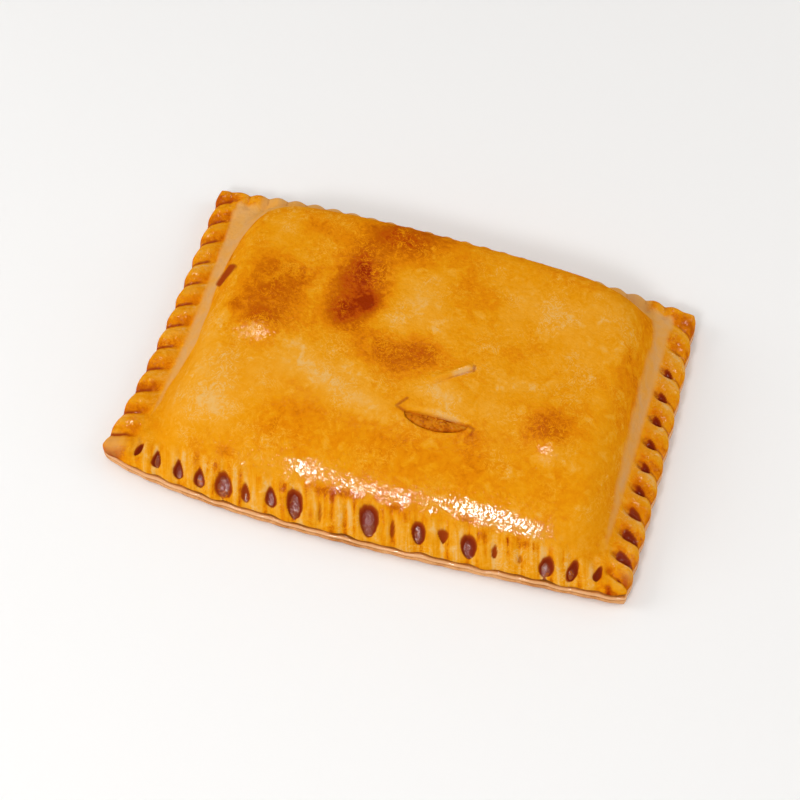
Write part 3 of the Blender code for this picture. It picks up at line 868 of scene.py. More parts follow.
# Patches where the glaze pooled and shines.
GLOSSY_PATCHES = (
    (-47.0, -8.0, 0.72, 6.4, 4.0),
    (47.5, -22.6, 0.66, 4.0, 3.6),
    (-18.0, 17.0, 0.05, 4.0, 6.0),
    (17.0, -3.9, 0.9, 4.0, 1.3, 35.0),
    (13.0, -18.0, 0.4, 6.0, 0.5),
)
# Patches of the front shoulder that shine most.
SHOULDER_PATCHES = (
    (39.5, -41.0, 1.1, 14.0, 2.3, -3.5),
    (11.0, -40.8, 0.36, 8.0, 2.0),
    (-4.0, -40.6, 0.34, 6.0, 2.4),
    (-18.0, -40.0, 0.44, 7.0, 2.6),
    (2.0, -43.0, 0.28, 20.0, 1.6),
)


def patches(x, y, places):
    """The strengths of all of these oval patches, each fading outwards, added up."""
    total = np.zeros_like(x)
    for place_x, place_y, strength, length, width, *turned in places:
        turn = math.radians(turned[0]) if turned else 0.0
        east, north = x - place_x, y - place_y
        along = east * math.cos(turn) + north * math.sin(turn)
        across = north * math.cos(turn) - east * math.sin(turn)
        total = total + strength * np.exp(-((along / length) ** 2) - (across / width) ** 2)
    return total


# The unglazed band that opened at the lid's foot: places along the side, and there its
# outer and inner inset.
BANDS = {
    "left": (
        (-44.0, 9.2, 9.6),
        (-36.0, 9.2, 10.2),
        (-23.0, 8.6, 11.2),
        (-10.0, 8.4, 14.6),
        (0.0, 8.2, 14.2),
        (12.0, 7.9, 12.8),
        (24.0, 7.6, 13.6),
        (30.0, 7.6, 16.0),
        (36.0, 7.4, 22.0),
        (52.0, 7.0, 26.0),
    ),
    "right": (
        (-44.0, 9.6, 10.4),
        (-36.0, 9.4, 11.6),
        (-15.0, 8.8, 13.2),
        (5.0, 8.4, 13.8),
        (22.0, 7.8, 13.8),
        (32.0, 7.4, 13.2),
        (38.0, 7.4, 13.4),
        (46.0, 6.5, 16.5),
        (52.0, 6.0, 19.0),
    ),
    "back": (
        (-74.0, 7.5, 14.0),
        (-66.0, 5.5, 17.5),
        (-60.0, 1.0, 17.5),
        (-53.0, -2.0, 14.4),
        (-45.0, -2.0, 12.4),
        (-36.0, -2.0, 11.0),
        (-28.0, -1.0, 9.0),
        (-18.0, 1.0, 7.0),
        (20.0, 2.0, 6.6),
        (45.0, 0.0, 9.0),
        (62.0, -1.0, 10.0),
        (70.0, 4.0, 12.0),
        (76.0, 6.5, 12.0),
    ),
}
# Where the glaze is thin and pinkish at the two front corners.
THIN_PATCHES = (
    (-77.0, -49.0, 0.75, 5.0, 3.5),
    (78.5, -44.0, 0.5, 2.5, 4.0),
)
# Where a side's band starts from its front end, and over what distance; how soft its outer
# and inner edges are; and the inner edge's wave: height and rate.
BAND_START = (4.0, 3.5)
BAND_EDGE = 2.2
BAND_INNER_EDGE = {"left": 1.1, "right": 2.4, "back": 2.6}
BAND_WAVE = (0.2, 0.55)
# The rims keep their glaze: how far in from each side bare dough starts, and over what
# distance. Along the back it may reach the edge, up to this far from the middle.
BARE_START = {"left": (6.5, 2.0), "right": (6.0, 2.0), "back": (4.0, 2.0)}
BARE_BACK_END = (66.0, 3.0)
# In front of this the dough is bare only at the corners.
FRONT_CORNERS_Y = -44.0
# The painted shadow line where the glaze's edge stands above the left band: how far in and how wide
# it is, its start and its end.
BAND_LINE = (0.2, 0.7)
BAND_LINE_START = (14.0, 6.0)
BAND_LINE_END = (44.0, 5.0)


def band_share(inset, along, places, edge):
    """How bare the dough is across one side's band, from 0 to 1."""
    along_places, outer, inner = np.array(places).T
    low = np.interp(along, along_places, outer)
    high = np.interp(along, along_places, inner) + BAND_WAVE[0] * np.sin(BAND_WAVE[1] * along)
    return smooth((inset - low + 0.5) / BAND_EDGE) * smooth((high - inset) / edge)


def stretch_mask(x, y):
    """Where the crust has no glaze, from 0 to 1."""
    bare = patches(x, y, THIN_PATCHES)
    sides = insets(x, y)
    for side, places in BANDS.items():
        inset, along, half = sides[side]
        ends = 1.0 if side == "back" else past(half + along, BAND_START)
        bare = np.maximum(bare, band_share(inset, along, places, BAND_INNER_EDGE[side]) * ends)
    left, right, back = (past(sides[side][0], start) for side, start in BARE_START.items())
    back = np.maximum(np.where(y > 0, back, 1.0), before(np.abs(x), BARE_BACK_END))
    return np.where(y < FRONT_CORNERS_Y, bare, bare * left * right * back)


def band_edge_shadow(x, y):
    """The painted shadow line where the glaze's edge stands above the left band."""
    inset, along, _ = insets(x, y)["left"]
    along_places, _, inner = np.array(BANDS["left"]).T
    away = inset - np.interp(along, along_places, inner) - BAND_LINE[0]
    ends = past(along, BAND_LINE_START) * before(along, BAND_LINE_END)
    return bell(away / BAND_LINE[1]) * ends


# The dark tear on the left slope: its ends, its width, over what share of its length it
# comes to a point, and how dark it is.
TEAR_BACK = (-62.4, 17.0)
TEAR_FRONT = (-67.6, 12.0)
TEAR_WIDTH = 4.7
TEAR_POINT = 0.12
TEAR_DARK = 0.52
# How dark the grooves' creases, the fine creases round the vent and the score are: partly browned,
# partly painted shade.
CREASE_DARK = {"left": 0.5, "back": 0.26, "right": 0.38}
FINE_CREASE_DARK = 0.38
SCORE_DARK = 0.3


def dark_mask(x, y):
    """Where burnt juice or a deep shadowed crease darkens the crust."""
    dark = np.maximum(front_pits(x, y)[1], right_pits(x, y)[1])
    for side, strength in CREASE_DARK.items():
        inset, along, half = insets(x, y)[side]
        line = crease(side, lean(side, along, inset), half)
        reach = smooth((GROOVES[side][2] - 0.5 - inset) / 3.0)
        dark = np.maximum(dark, strength * line * reach)
    share, across = along_line(x, y, TEAR_FRONT, TEAR_BACK)
    spread = TEAR_WIDTH * mix(0.55, 1.0, np.clip(share * 2.0, 0.0, 1.0))
    ends = smooth(share / TEAR_POINT) * smooth((1.0 - share) / TEAR_POINT)
    tear = np.exp(-((across / spread) ** 4)) * ends
    share, across = along_line(x, y, SCORE_LEFT, SCORE_RIGHT)
    score = bell(across / 0.5) * smooth(share / 0.6) * smooth((1.02 - share) / 0.04)
    dark = np.maximum(dark, FINE_CREASE_DARK * fine_creases(x, y))
    return np.maximum(dark, np.maximum(TEAR_DARK * tear, SCORE_DARK * score))


# How brown each rim is: its tone, the contrast along a ridge, and where it is brownest between one
# mark (0) and the next (1). Along a ridge this is partly painted light: shade painted towards one
# groove and in the fine creases, and a painted highlight line just past the other.
RIM_BAKE_AND_SHADE = {
    "left": (0.06, 0.34, 0.92),
    "right": (0.0, 0.34, 0.8),
    "back": (0.05, 0.2, 0.25),
}
# How brown patches can get together, and how soon they do.
BAKE_LIMIT = 1.3
BAKE_GAIN = 1.15
# The browner strip along the back: inset, reach and strength.
BACK_STRIP = (12.0, 9.0, 0.12)
# The front wall's tone, and the brown smudge at the top of a flute: inset, width as a
# share of the flute, reach inwards and strength.
FRONT_TONE = -0.06
SMUDGE = (6.8, 0.2, 1.5, 0.6)
# How much paler a pleat's crest is than its creases, and a pit's lip than the wall: painted
# highlights on the raised crests and lips, and painted shade in the creases.
CREST_HIGHLIGHT = 0.6
LIP_HIGHLIGHT = 0.2
# How dark the painted shadow at the left band's glaze edge is.
BAND_EDGE_SHADOW = 0.3
# Gloss: everywhere, on the front shoulder between two insets, and on the other rims.
GLOSS_LEAST = 0.015
SHOULDER_GLOSS = 0.15
SHOULDER_START = (8.0, 1.4)
SHOULDER_END = (16.0, 4.0)
RIM_GLOSS = 0.3
RIM_END = (8.0, 2.0)


def gloss_share(x, y):
    """How wet the glaze looks: most on the front shoulder and on the blisters."""
    gloss = GLOSS_LEAST + patches(x, y, GLOSSY_PATCHES) + patches(x, y, SHOULDER_PATCHES)
    inset = y + HALF_WIDTH
    shoulder = past(inset, SHOULDER_START) * before(inset, SHOULDER_END)
    rims = before(nearest_edge(x, y), RIM_END) * (1.0 - front_wall(inset))
    return np.clip(gloss + SHOULDER_GLOSS * shoulder + RIM_GLOSS * rims, 0.0, 1.0)


def bake_and_shade_level(x, y):
    """How brown the glaze is, with painted highlights and shade at a few glints, on the rims'
    ridges, the front pleats, the pits' lips and the left band's edge: 0 golden, 1 brown, below 0
    pale.
    """
    browned = BAKE_LIMIT * (1.0 - np.exp(-BAKE_GAIN * patches(x, y, BROWN_PATCHES)))
    level = browned - patches(x, y, PALE_PATCHES)
    sides = insets(x, y)
    place, reach, strength = BACK_STRIP
    level = level + strength * smooth(1.0 - np.abs(sides["back"][0] - place) / reach)
    for side, (tone, contrast, brownest) in RIM_BAKE_AND_SHADE.items():
        inset, along, _ = sides[side]
        line = lean(side, along, inset)
        phase = mark_phase(side, line)
        swing = np.cos(2 * np.pi * (phase - brownest)) * mix(0.5, 1.2, uneven(np.floor(phase)))
        # A painted highlight line just past each groove, and painted shade in the fine creases.
        edge = bell((phase - np.floor(phase) - 0.2) / 0.08)
        swing = swing - 1.2 * edge + 0.6 * fine_crease(side, line)
        reach = smooth((GROOVES[side][2] + 1.0 - inset) / 2.5)
        level = level + reach * (tone + contrast * swing + 0.3 * np.exp(-inset / 1.5))
    inset, along, _ = sides["front"]
    phase = mark_phase("front", lean("front", along, inset))
    middle = np.abs(phase - np.floor(phase) - 0.5)
    place, width, reach, strength = SMUDGE
    smudge = strength * bell(middle / width) * bell((inset - place) / reach)
    smudge = smudge * uneven(np.floor(phase))
    # Painted highlight on the pleats' crests and painted shade in their creases.
    crest = (pleats(x, y) - 0.5) * mix(0.7, 1.3, uneven(np.round(phase * 2.0) + 7.0))
    crest = crest * before_corners(x)
    level = level + front_wall(inset) * (FRONT_TONE + smudge - CREST_HIGHLIGHT * crest)
    return level - LIP_HIGHLIGHT * front_pits(x, y)[2] + BAND_EDGE_SHADOW * band_edge_shadow(x, y)


# Meshes


def new_object(name, data):
    """Make an object of this data, and put it in the scene."""
    made = bpy.data.objects.new(name, data)
    bpy.context.scene.collection.objects.link(made)
    return made


class Skin:
    """Points and faces of one closed piece, with each point's nominal place."""

    def __init__(self):
        self.points = []
        self.places = []
        self.inside = []
        self.faces = []
        self.count = 0

    def add(self, points, x, y, inside=0.0):
        """Add points with their nominal places. Returns the new points' numbers."""
        points = np.asarray(points, float).reshape(-1, 3)
        self.points.append(points)
        self.places.append(np.stack([np.ravel(x), np.ravel(y)], axis=1))
        self.inside.append(np.zeros(len(points)) + inside)
        start = self.count
        self.count += len(points)
        return np.arange(start, self.count)

    def all_points(self):
        return np.concatenate(self.points)

    def all_places(self):
        return np.concatenate(self.places).T

    def join(self, *corners):
        """Faces that take their corners from these lists, one from each."""
        self.faces.extend(np.stack([np.ravel(places) for places in corners], axis=1).tolist())

    def band(self, outer, inner):
        """Join two closed rings of the same count with quads."""
        self.join(outer, np.roll(outer, -1), np.roll(inner, -1), inner)

    def span(self, index):
        """Quads over a grid of points, rows running along the second axis."""
        self.join(index[:-1, :-1], index[1:, :-1], index[1:, 1:], index[:-1, 1:])

    def fan(self, ring, height, inside=0.0, upwards=False):
        """Close a ring with triangles round a point in the middle."""
        centre = np.full(len(ring), self.add((0.0, 0.0, height), 0.0, 0.0, inside))
        after = np.roll(ring, -1)
        self.join(*((ring, after) if upwards else (after, ring)), centre)

    def fill(self, outer, hole, surface):
        """Close the gap between an outer loop and an inner one from below, coarsely."""
        x, y = self.all_places()
        halves = (HALF_LENGTH - LINING_STEP, HALF_WIDTH - LINING_STEP)
        steps = [np.arange(-half, half + 0.1, LINING_STEP) for half in halves]
        grid_x, grid_y = (places.ravel() for places in np.meshgrid(*steps))
        reach = np.hypot(grid_x[:, None] - x[hole], grid_y[:, None] - y[hole]).min(axis=1)
        away = reach > LINING_STEP / 2
        grid_x, grid_y = grid_x[away], grid_y[away]
        loops = np.concatenate([outer, hole])
        flat = zip(np.append(x[loops], grid_x), np.append(y[loops], grid_y))
        rims = [list(range(len(outer))), list(range(len(outer), len(loops)))]
        result = delaunay_2d_cdt([Vector(place) for place in flat], [], rims, 2, 1e-6)
        added = self.add(surface(grid_x, grid_y), grid_x, grid_y, 1.0)
        lookup = np.concatenate([loops, added])
        origin = [sources[0] for sources in result[3]]
        for face in result[2]:
            self.faces.append([int(lookup[origin[corner]]) for corner in reversed(face)])

    def make(self, name, values=None):
        """A mesh object in the frame's own place, shaded smooth, with point values."""
        mesh = bpy.data.meshes.new(name)
        used = np.unique([corner for face in self.faces for corner in face])
        order = np.full(self.count, -1)
        order[used] = np.arange(len(used))
        points = (self.all_points()[used] - CENTRE) * MM
        faces = [[int(order[corner]) for corner in face] for face in self.faces]
        mesh.from_pydata(points.tolist(), [], faces)
        mesh.shade_smooth()
        for title, data in (values or {}).items():
            layer = mesh.attributes.new(title, "FLOAT", "POINT")
            layer.data.foreach_set("value", np.asarray(data, np.float32)[used])
        return new_object(name, mesh)


def stepped(*stops):
    """Places from stop to stop, each stretch at about its own step."""
    places = [stops[0][0]]
    for (start, step), (end, _) in zip(stops, stops[1:]):
        count = max(1, int(round((end - start) / step)))
        places.extend(np.linspace(start, end, count + 1)[1:])
    return np.array(places)


def lid_places(half, *middle):
    """Places from rim to rim of the lid, with the stops given in its middle."""
    inner = half - RIM_REACH
    return stepped((-half, RIM_STEP), (-inner, LID_STEP), *middle, (inner, RIM_STEP), (half, 0.0))


def border_loop(index):
    """A grid's border, anticlockwise from the front left corner."""
    return np.concatenate([index[:-1, 0], index[-1, :-1], index[:0:-1, -1], index[0, :0:-1]])


def lip_surface(x, y, back):
    """Points of the upper sheet's outer face, with the slit's lips rolled down."""
    points = upper_surface(x, y)
    points[..., 2] -= lip_drop(x, y, back)
    return points


def outer_grid(skin):
    """The upper sheet's outer face, parted at the slit. Returns its border and lips."""
    columns = lid_places(HALF_LENGTH, (SLIT_LEFT[0], LID_STEP), (SLIT_RIGHT[0], LID_STEP))
    rows = lid_places(
        HALF_WIDTH,
        (SLIT_ROW - VENT_REACH[0], VENT_STEP),
        (SLIT_ROW, VENT_STEP),
        (SLIT_ROW + VENT_REACH[1], LID_STEP),
    )
    x, y = np.meshgrid(columns, rows, indexing="ij")
    slit_row = int(np.argmin(np.abs(rows - SLIT_ROW)))
    first = int(np.argmin(np.abs(columns - SLIT_LEFT[0])))
    last = int(np.argmin(np.abs(columns - SLIT_RIGHT[0])))
    back = np.broadcast_to(np.arange(len(rows)) >= slit_row, x.shape)
    places = parted(x, y, back)
    index = skin.add(lip_surface(x, places, back), x, places).reshape(x.shape)
    inner_x = columns[first + 1 : last]
    lip_y = parted(inner_x, np.full_like(inner_x, SLIT_ROW), False)
    front_lip = skin.add(lip_surface(inner_x, lip_y, False), inner_x, lip_y)
    skin.span(index[:, :slit_row])
    below = index[:, slit_row].copy()
    below[first + 1 : last] = front_lip
    skin.span(np.stack([index[:, slit_row - 1], below], axis=1))
    skin.span(index[:, slit_row:])
    back_lip = index[first : last + 1, slit_row]
    return border_loop(index), np.concatenate([back_lip[:1], front_lip, back_lip[:0:-1]])


def rolled_under(skin, loop):
    """The rim's outer edge, rolling under to the seam. Returns its lowest ring."""
    x, y = skin.all_places()[:, loop]
    top = skin.all_points()[loop, 2]
    on_end = np.sign(x) * (np.abs(x) > HALF_LENGTH - 1e-6)
    on_side = np.sign(y) * (np.abs(y) > HALF_WIDTH - 1e-6)
    ring = loop
    merged = merge(x, y)
    for inset, drop, shade in EDGE_ROLL:
        inset = inset * (1.0 - merged)
        ring_x, ring_y = x - on_end * inset, y - on_side * inset
        points = upper_surface(ring_x, ring_y)
        points[..., 2] = mix(top, seam_height(ring_x, ring_y) + GAP / 2 - SEAM_TUCK, drop)
        lower = skin.add(points, ring_x, ring_y, shade * (1.0 - merged))
        skin.band(lower, ring)
        ring = lower
    return ring


def slit_walls(skin, lips, thickness):
    """The cut through the crust, bulging a little into the opening."""
    x, y = skin.all_places()[:, lips]
    lip_points = skin.all_points()[lips]
    towards = np.clip(slit_line(x) - y, -1.0, 1.0) * slit_opening(x)
    ring = lips
    for depth, bulge in SLIT_WALL:
        points = lip_points.copy()
        points[:, 1] += towards * bulge
        points[:, 2] -= depth * thickness
        lower = skin.add(points, x, y, SLIT_WALL_SHADE * depth)
        skin.band(ring, lower)
        ring = lower
    return ring


def lining(x, y, thickness):
    """The upper sheet's inner face: on the seam at the rim, over the filling inside."""
    points = inner_surface(x, y, thickness, SEAM_Z + GAP / 2 + HOLLOW_MIN)
    on_seam = nearest_edge(x, y) < HOLLOW_INSET
    points[..., 2] = np.where(on_seam, seam_height(x, y) + GAP / 2, points[..., 2])
    return points


def lid_skin(thickness):
    """The upper sheet: a closed shell with the slit cut through it."""
    skin = Skin()
    border, lips = outer_grid(skin)
    foot = rolled_under(skin, border)
    hole = slit_walls(skin, lips, thickness)
    skin.fill(foot, hole, lambda x, y: lining(x, y, thickness))
    return skin


def rim_ring(inset):
    """Nominal places round the parcel at an inset, anticlockwise."""
    sides = zip((HALF_LENGTH - inset, HALF_WIDTH - inset), LOWER_STATIONS)
    stations = [np.linspace(-half, half, count + 1) for half, count in sides]
    return [border_loop(places) for places in np.meshgrid(*stations, indexing="ij")]


def lower_points(x, y, height, lift):
    """Points of the lower sheet's edge: scalloped where the grooves were pressed."""
    pull = {}
    for side, (inset, along, half) in insets(x, y).items():
        scallop = LOWER_SCALLOP[side] * groove(side, lean(side, along, inset), half)
        pull[side] = scallop * np.exp(-inset / PULL_REACH)
    place_x, place_y = plan(x, y)
    shift_x, shift_y = side_shift(x, y, pull)
    size, length_x, length_y = LIP_WOBBLE
    wobble = size * wave(x, length_x) * wave(y, length_y, x / 17.0)
    level = height + lift * (seam_height(x, y) - SEAM_Z + wobble)
    return np.stack([place_x + shift_x, place_y + shift_y, level], axis=-1)


def base_skin():
    """The lower sheet: a flat round-edged slab whose lip shows under the seam."""
    skin = Skin()
    rings = []
    for inset, height, lift, tone in LOWER_PROFILE:
        x, y = rim_ring(inset)
        rings.append(skin.add(lower_points(x, y, height, lift), x, y, tone))
    for outer, inner in zip(rings, rings[1:]):
        skin.band(outer, inner)
    skin.fan(rings[0], 0.0, 0.5)
    skin.fan(rings[-1], LOWER_PROFILE[-1][1], 0.5, upwards=True)
    return skin


def eye_distance(x, y):
    """How far inside the vent's opening a place is, below 0 outside it."""
    off = y - slit_line(x)
    return lip_reach(x, off > 0) - np.abs(off)


def filling_top(x, y, thickness, level):
    """The filling's upper face: under the lining, and welling up in the vent."""
    lowest = SEAM_Z + GAP / 2 + HOLLOW_MIN - FILLING_GAP
    depth = thickness + FILLING_GAP
    points = inner_surface(x, y, depth, lowest)
    lumps = np.sin(x * 2.1 + 0.7 * np.sin(y * 1.7)) * np.sin(y * 2.4 + 0.9 * np.sin(x * 1.3))
    finer = np.sin(x * 4.7 + y * 1.9) * np.sin(y * 5.3 - x * 1.1)
    well = past(eye_distance(x, y), WELL_START)
    towards_back = past(y - slit_line(x), SINK_START)
    sunk = mix(FRONT_LIP_GAP, level + SINK_DEPTH, towards_back)
    rough = FILLING_LUMPS[0] * lumps + FILLING_LUMPS[1] * finer
    rough = rough * (1.0 - BACK_CALM * towards_back)
    points[..., 2] += well * (depth - sunk + rough)
    return points


def filling_grid(skin, columns, rows, thickness, level):
    """Add the filling's upper face over a grid. Returns the grid of its points."""
    x, y = np.meshgrid(columns, rows, indexing="ij")
    index = skin.add(filling_top(x, y, thickness, level), x, y).reshape(x.shape)
    skin.span(index)
    return index


def filling_skin(thickness, level):
    """The mound of meat and onion under the lid."""
    skin = Skin()
    half_x, half_y = HALF_LENGTH - FILLING_INSET, HALF_WIDTH - FILLING_INSET
    columns = stepped(
        (-half_x, MOUND_STEP),
        (SLIT_LEFT[0] - 2.0, VENT_STEP),
        (SLIT_RIGHT[0] + 2.0, MOUND_STEP),
        (half_x, 0.0),
    )
    rows = stepped(
        (-half_y, MOUND_STEP),
        (SLIT_ROW - VENT_REACH[0], VENT_STEP),
        (SLIT_ROW + 3.5, MOUND_STEP),
        (half_y, 0.0),
    )
    loop = border_loop(filling_grid(skin, columns, rows, thickness, level))
    points = skin.all_points()[loop]
    points[:, 2] = SEAM_Z + GAP / 2
    base = skin.add(points, *skin.all_places()[:, loop])
    skin.band(base, loop)
    skin.fan(base, SEAM_Z + GAP / 2)
    return skin


# Nodes


class Value:
    """A number, vector or colour in a node tree. Sums with it add Math nodes."""

    def __init__(self, nodes, socket):
        self.nodes = nodes
        self.socket = socket

    def calc(self, operation, a, b=0.0):
        return self.nodes.value("ShaderNodeMath", {0: a, 1: b}, operation=operation)

    def __add__(self, other):
        return self.calc("ADD", self, other)

    def __sub__(self, other):
        return self.calc("SUBTRACT", self, other)

    def __rsub__(self, other):
        return self.calc("SUBTRACT", other, self)

    def __mul__(self, other):
        return self.calc("MULTIPLY", self, other)

    def __abs__(self):
        return self.calc("ABSOLUTE", self)

    def at_least(self, lowest):
        return self.calc("MAXIMUM", self, lowest)

    def limited(self):
        """The sum just worked out, kept between 0 and 1."""
        self.socket.node.use_clamp = True
        return self


class Nodes:
    """A node tree, with short ways to add the nodes used here."""

    def __init__(self, tree):
        self.tree = tree

    def put(self, socket, value):
        """Link an input to a Value, or set it to a plain one."""
        if isinstance(value, Value):
            self.tree.links.new(value.socket, socket)
        else:
            socket.default_value = value

    def add(self, kind, inputs=None, **options):
        """A node with its options set, and each input linked or given its value."""
        node = self.tree.nodes.new(kind)
        for name, value in options.items():
            setattr(node, name, value)
        for name, value in (inputs or {}).items():
            self.put(node.inputs[name], value)
        return node

    def value(self, kind, inputs=None, output=0, **options):
        """What a new node gives at one of its outputs."""
        return Value(self, self.add(kind, inputs, **options).outputs[output])


class Surface(Nodes):
    """A material's nodes, round its Principled shader."""

    def __init__(self, name, roughness, coat=0.0, coat_roughness=0.0, specular=0.0):
        self.material = bpy.data.materials.new(name)
        self.material.use_nodes = True
        super().__init__(self.material.node_tree)
        self.shader = self.tree.nodes["Principled BSDF"]
        self.shade("Roughness", roughness)
        self.shade("Coat Weight", coat)
        self.shade("Coat Roughness", coat_roughness)
        self.shade("Specular IOR Level", specular)
        self.place = self.value("ShaderNodeTexCoord", output="Object")

    def shade(self, name, value):
        self.put(self.shader.inputs[name], value)

    def along(self, axis):
        return self.value("ShaderNodeSeparateXYZ", {0: self.place}, axis)

    def point(self, title):
        """A point value of the mesh."""
        return self.value("ShaderNodeAttribute", output="Fac", attribute_name=title)

    def vector(self, operation, a, b, output=0):
        return self.value("ShaderNodeVectorMath", {0: a, 1: b}, output, operation=operation)

    def noise(self, scale, detail=3.0, roughness=0.55, distortion=0.0, place=None):
        """Noise centred on 0, on the surface's own place. scale is in turns per metre."""
        inputs = {"Vector": place or self.place, "Scale": scale, "Detail": detail}
        inputs.update({"Roughness": roughness, "Distortion": distortion})
        return self.value("ShaderNodeTexNoise", inputs, "Fac") - 0.5

    def blend(self, share, a, b):
        return self.value("ShaderNodeMix", {0: share, 6: a, 7: b}, 2, data_type="RGBA")

    def ramp(self, level, *stops):
        """The colour of a level, between stops that each give a level and its colour."""
        node = self.add("ShaderNodeValToRGB", {0: level})
        elements = node.color_ramp.elements
        while len(elements) < len(stops):
            elements.new(0.5)
        for element, (place, colour) in zip(elements, stops):
            element.position = place
            element.color = (*colour[:3], 1.0)
        return Value(self, node.outputs[0])

    def finish(self, colour, height, distance):
        """Set the colour and a bump of a height. Returns the material."""
        self.shade("Base Color", colour)
        inputs = {"Height": height, "Strength": 1.0, "Distance": distance}
        normal = self.value("ShaderNodeBump", inputs)
        self.shade("Normal", normal)
        self.shade("Coat Normal", normal)
        return self.material


# Materials


def glaze_material(colours):
    """Egg-glazed baked dough, golden to burnt by its point value, with bare stretch bands."""
    glaze = Surface("egg_glazed_crust", 0.5, 0.5, 0.07)
    broad = glaze.noise(55.0, 2.0, 0.5, 0.4)
    cloudy = glaze.noise(150.0, 3.0, 0.55, 0.6)
    blotch = glaze.noise(260.0, 3.0, 0.6, 0.5)
    fine = glaze.noise(620.0, 3.0, 0.6, 0.4)
    grain = glaze.noise(2100.0, 2.0, 0.6)
    strewn = (glaze.noise(90.0, 2.0) * 4.0 + 0.4).limited()
    threads = (1.0 - abs(glaze.noise(330.0, 4.0, 0.7, 1.0)) * 30.0).limited() * strewn
    pale = ((cloudy + blotch - 0.04) * 4.0).limited()
    sheared = glaze.vector("DOT_PRODUCT", glaze.place, (1.0, 0.33, 0.0), "Value")
    flow = glaze.vector("MULTIPLY", glaze.place, (0.0, 0.1, 0.1))
    flow = glaze.vector("ADD", flow, glaze.value("ShaderNodeCombineXYZ", {0: sheared}))
    streak = glaze.noise(480.0, 3.0, 0.6, 0.3, flow)
    # The glaze's browning, with the painted highlights and shade worked into it.
    bake = glaze.point("bake")
    steadied = (1.0 - bake * 0.8).limited()
    level = bake + 0.04 + broad * 0.9 + fine * 0.65 + grain * 0.18 - threads * 0.75
    level = level + cloudy * steadied * 1.3 - pale * steadied * 0.75 + blotch * steadied * 0.4
    level = level + streak * glaze.point("wall") * 3.4
    colour = glaze.ramp(
        level * 0.5 + 0.5,
        (0.0, colours.cream),
        (0.25, colours.yellow),
        (0.47, colours.golden),
        (0.64, colours.orange),
        (0.82, colours.brown),
        (0.92, colours.ember),
        (1.0, colours.burnt),
    )
    band = ((glaze.point("stretch") + cloudy * 0.7 + fine * 0.5 - 0.15) * 1.2).limited()
    bare = glaze.blend(cloudy * 2.0 + 0.35, colours.bare, colours.yellow)
    colour = glaze.blend(band, colour, bare)
    dark = glaze.point("dark") + fine * 0.15 + cloudy * 0.1
    burnt = ((dark - 0.5) * 3.0).limited()
    # Rust colours the edges of burnt spots, and is painted shade in the creases.
    colour = glaze.blend(((dark - 0.18) * 3.4).limited(), colour, colours.rust_and_crease_shade)
    colour = glaze.blend(burnt, colour, colours.juice)
    # Painted shade: the rim's edge darkens as it rolls under to the seam, and the slit's walls
    # darken downwards.
    colour = glaze.blend(glaze.point("inside"), colour, colours.shade)
    glaze.shade("Roughness", band * 0.15 - burnt * 0.2 + fine * 0.25 + 0.5)
    speck = glaze.noise(850.0, 2.0, 0.6)
    wet = (glaze.point("gloss") * 2.3 + speck * 3.6 - 0.9).limited()
    glaze.shade("Coat Weight", (wet * (1.0 - band)).at_least(0.01))
    behind = ((glaze.along("Y") - SHOULDER_Y * MM) * (0.06 / MM)).limited()
    glaze.shade("Coat Roughness", behind * 0.19 + 0.07)
    pores = glaze.noise(1050.0, 1.0, 0.5)
    return glaze.finish(colour, pores + threads * 0.1, 0.2 * MM)


def bare_dough_material(colours):
    """The lower sheet: pale baked dough, browned below, with a moist lip."""
    dough = Surface("bare_baked_dough", 0.5, 0.4, 0.08)
    broad = dough.noise(60.0, 3.0, 0.5)
    cloudy = dough.noise(260.0, 4.0, 0.6, 0.5)
    fine = dough.noise(900.0, 3.0, 0.6)
    level = dough.point("tone") + broad * 1.5 + cloudy * 1.6 + fine * 0.6
    colour = dough.ramp(
        level * 0.5 + 0.5,
        (0.0, colours.moist),
        (0.5, colours.tan),
        (0.75, colours.toasted),
        (1.0, colours.shade),
    )
    dough.shade("Roughness", fine * 0.3 + 0.45)
    return dough.finish(colour, fine * 0.2 + cloudy * 0.8, 0.2 * MM)


def filling_material(colours):
    """Moist minced meat in its orange cooking fat."""
    meat = Surface("moist_meat", 0.5, 0.04, 0.1)
    cloudy = meat.noise(300.0, 4.0, 0.6, 0.6)
    fine = meat.noise(1500.0, 3.0, 0.6)
    level = cloudy * 2.2 + fine * 0.8 + 0.45
    colour = meat.ramp(level, (0.15, colours.meat), (0.45, colours.fat), (0.75, colours.onion))
    return meat.finish(colour, cloudy * 0.6 + fine * 0.1, 0.3 * MM)


def bit_material(name, colour, second):
    """One kind of bit in the filling, mottled between two colours."""
    bit = Surface(name, 0.4, 0.1, 0.06)
    cloudy = bit.noise(900.0, 3.0, 0.6)
    mottled = bit.blend(cloudy * 1.6 + 0.5, colour, second)
    return bit.finish(mottled, bit.noise(2200.0, 2.0), 0.15 * MM)


def juice_material(colours):
    """Burnt juice that dried in the pits: dark, purplish and glossy."""
    juice = Surface("burnt_juice", 0.5, 0.3, 0.06)
    cloudy = juice.noise(520.0, 4.0, 0.6, 0.8)
    fine = juice.noise(1600.0, 3.0, 0.6)
    # Paler towards the bead's lower part: partly a painted sheen.
    low = ((PALE_JUICE_TOP * MM - juice.along("Z")) * (0.3 / MM)).limited()
    level = juice.point("brown") * 0.8 + low * 0.45 + cloudy * 2.4 + fine * 0.9 - 0.05
    colour = juice.ramp(
        level,
        (0.0, colours.juice),
        (0.4, colours.juice_pale),
        (0.8, colours.brown),
        (1.0, colours.orange),
    )
    return juice.finish(colour, cloudy * 0.8 + fine * 0.1, 0.45 * MM)


# Geometry Nodes


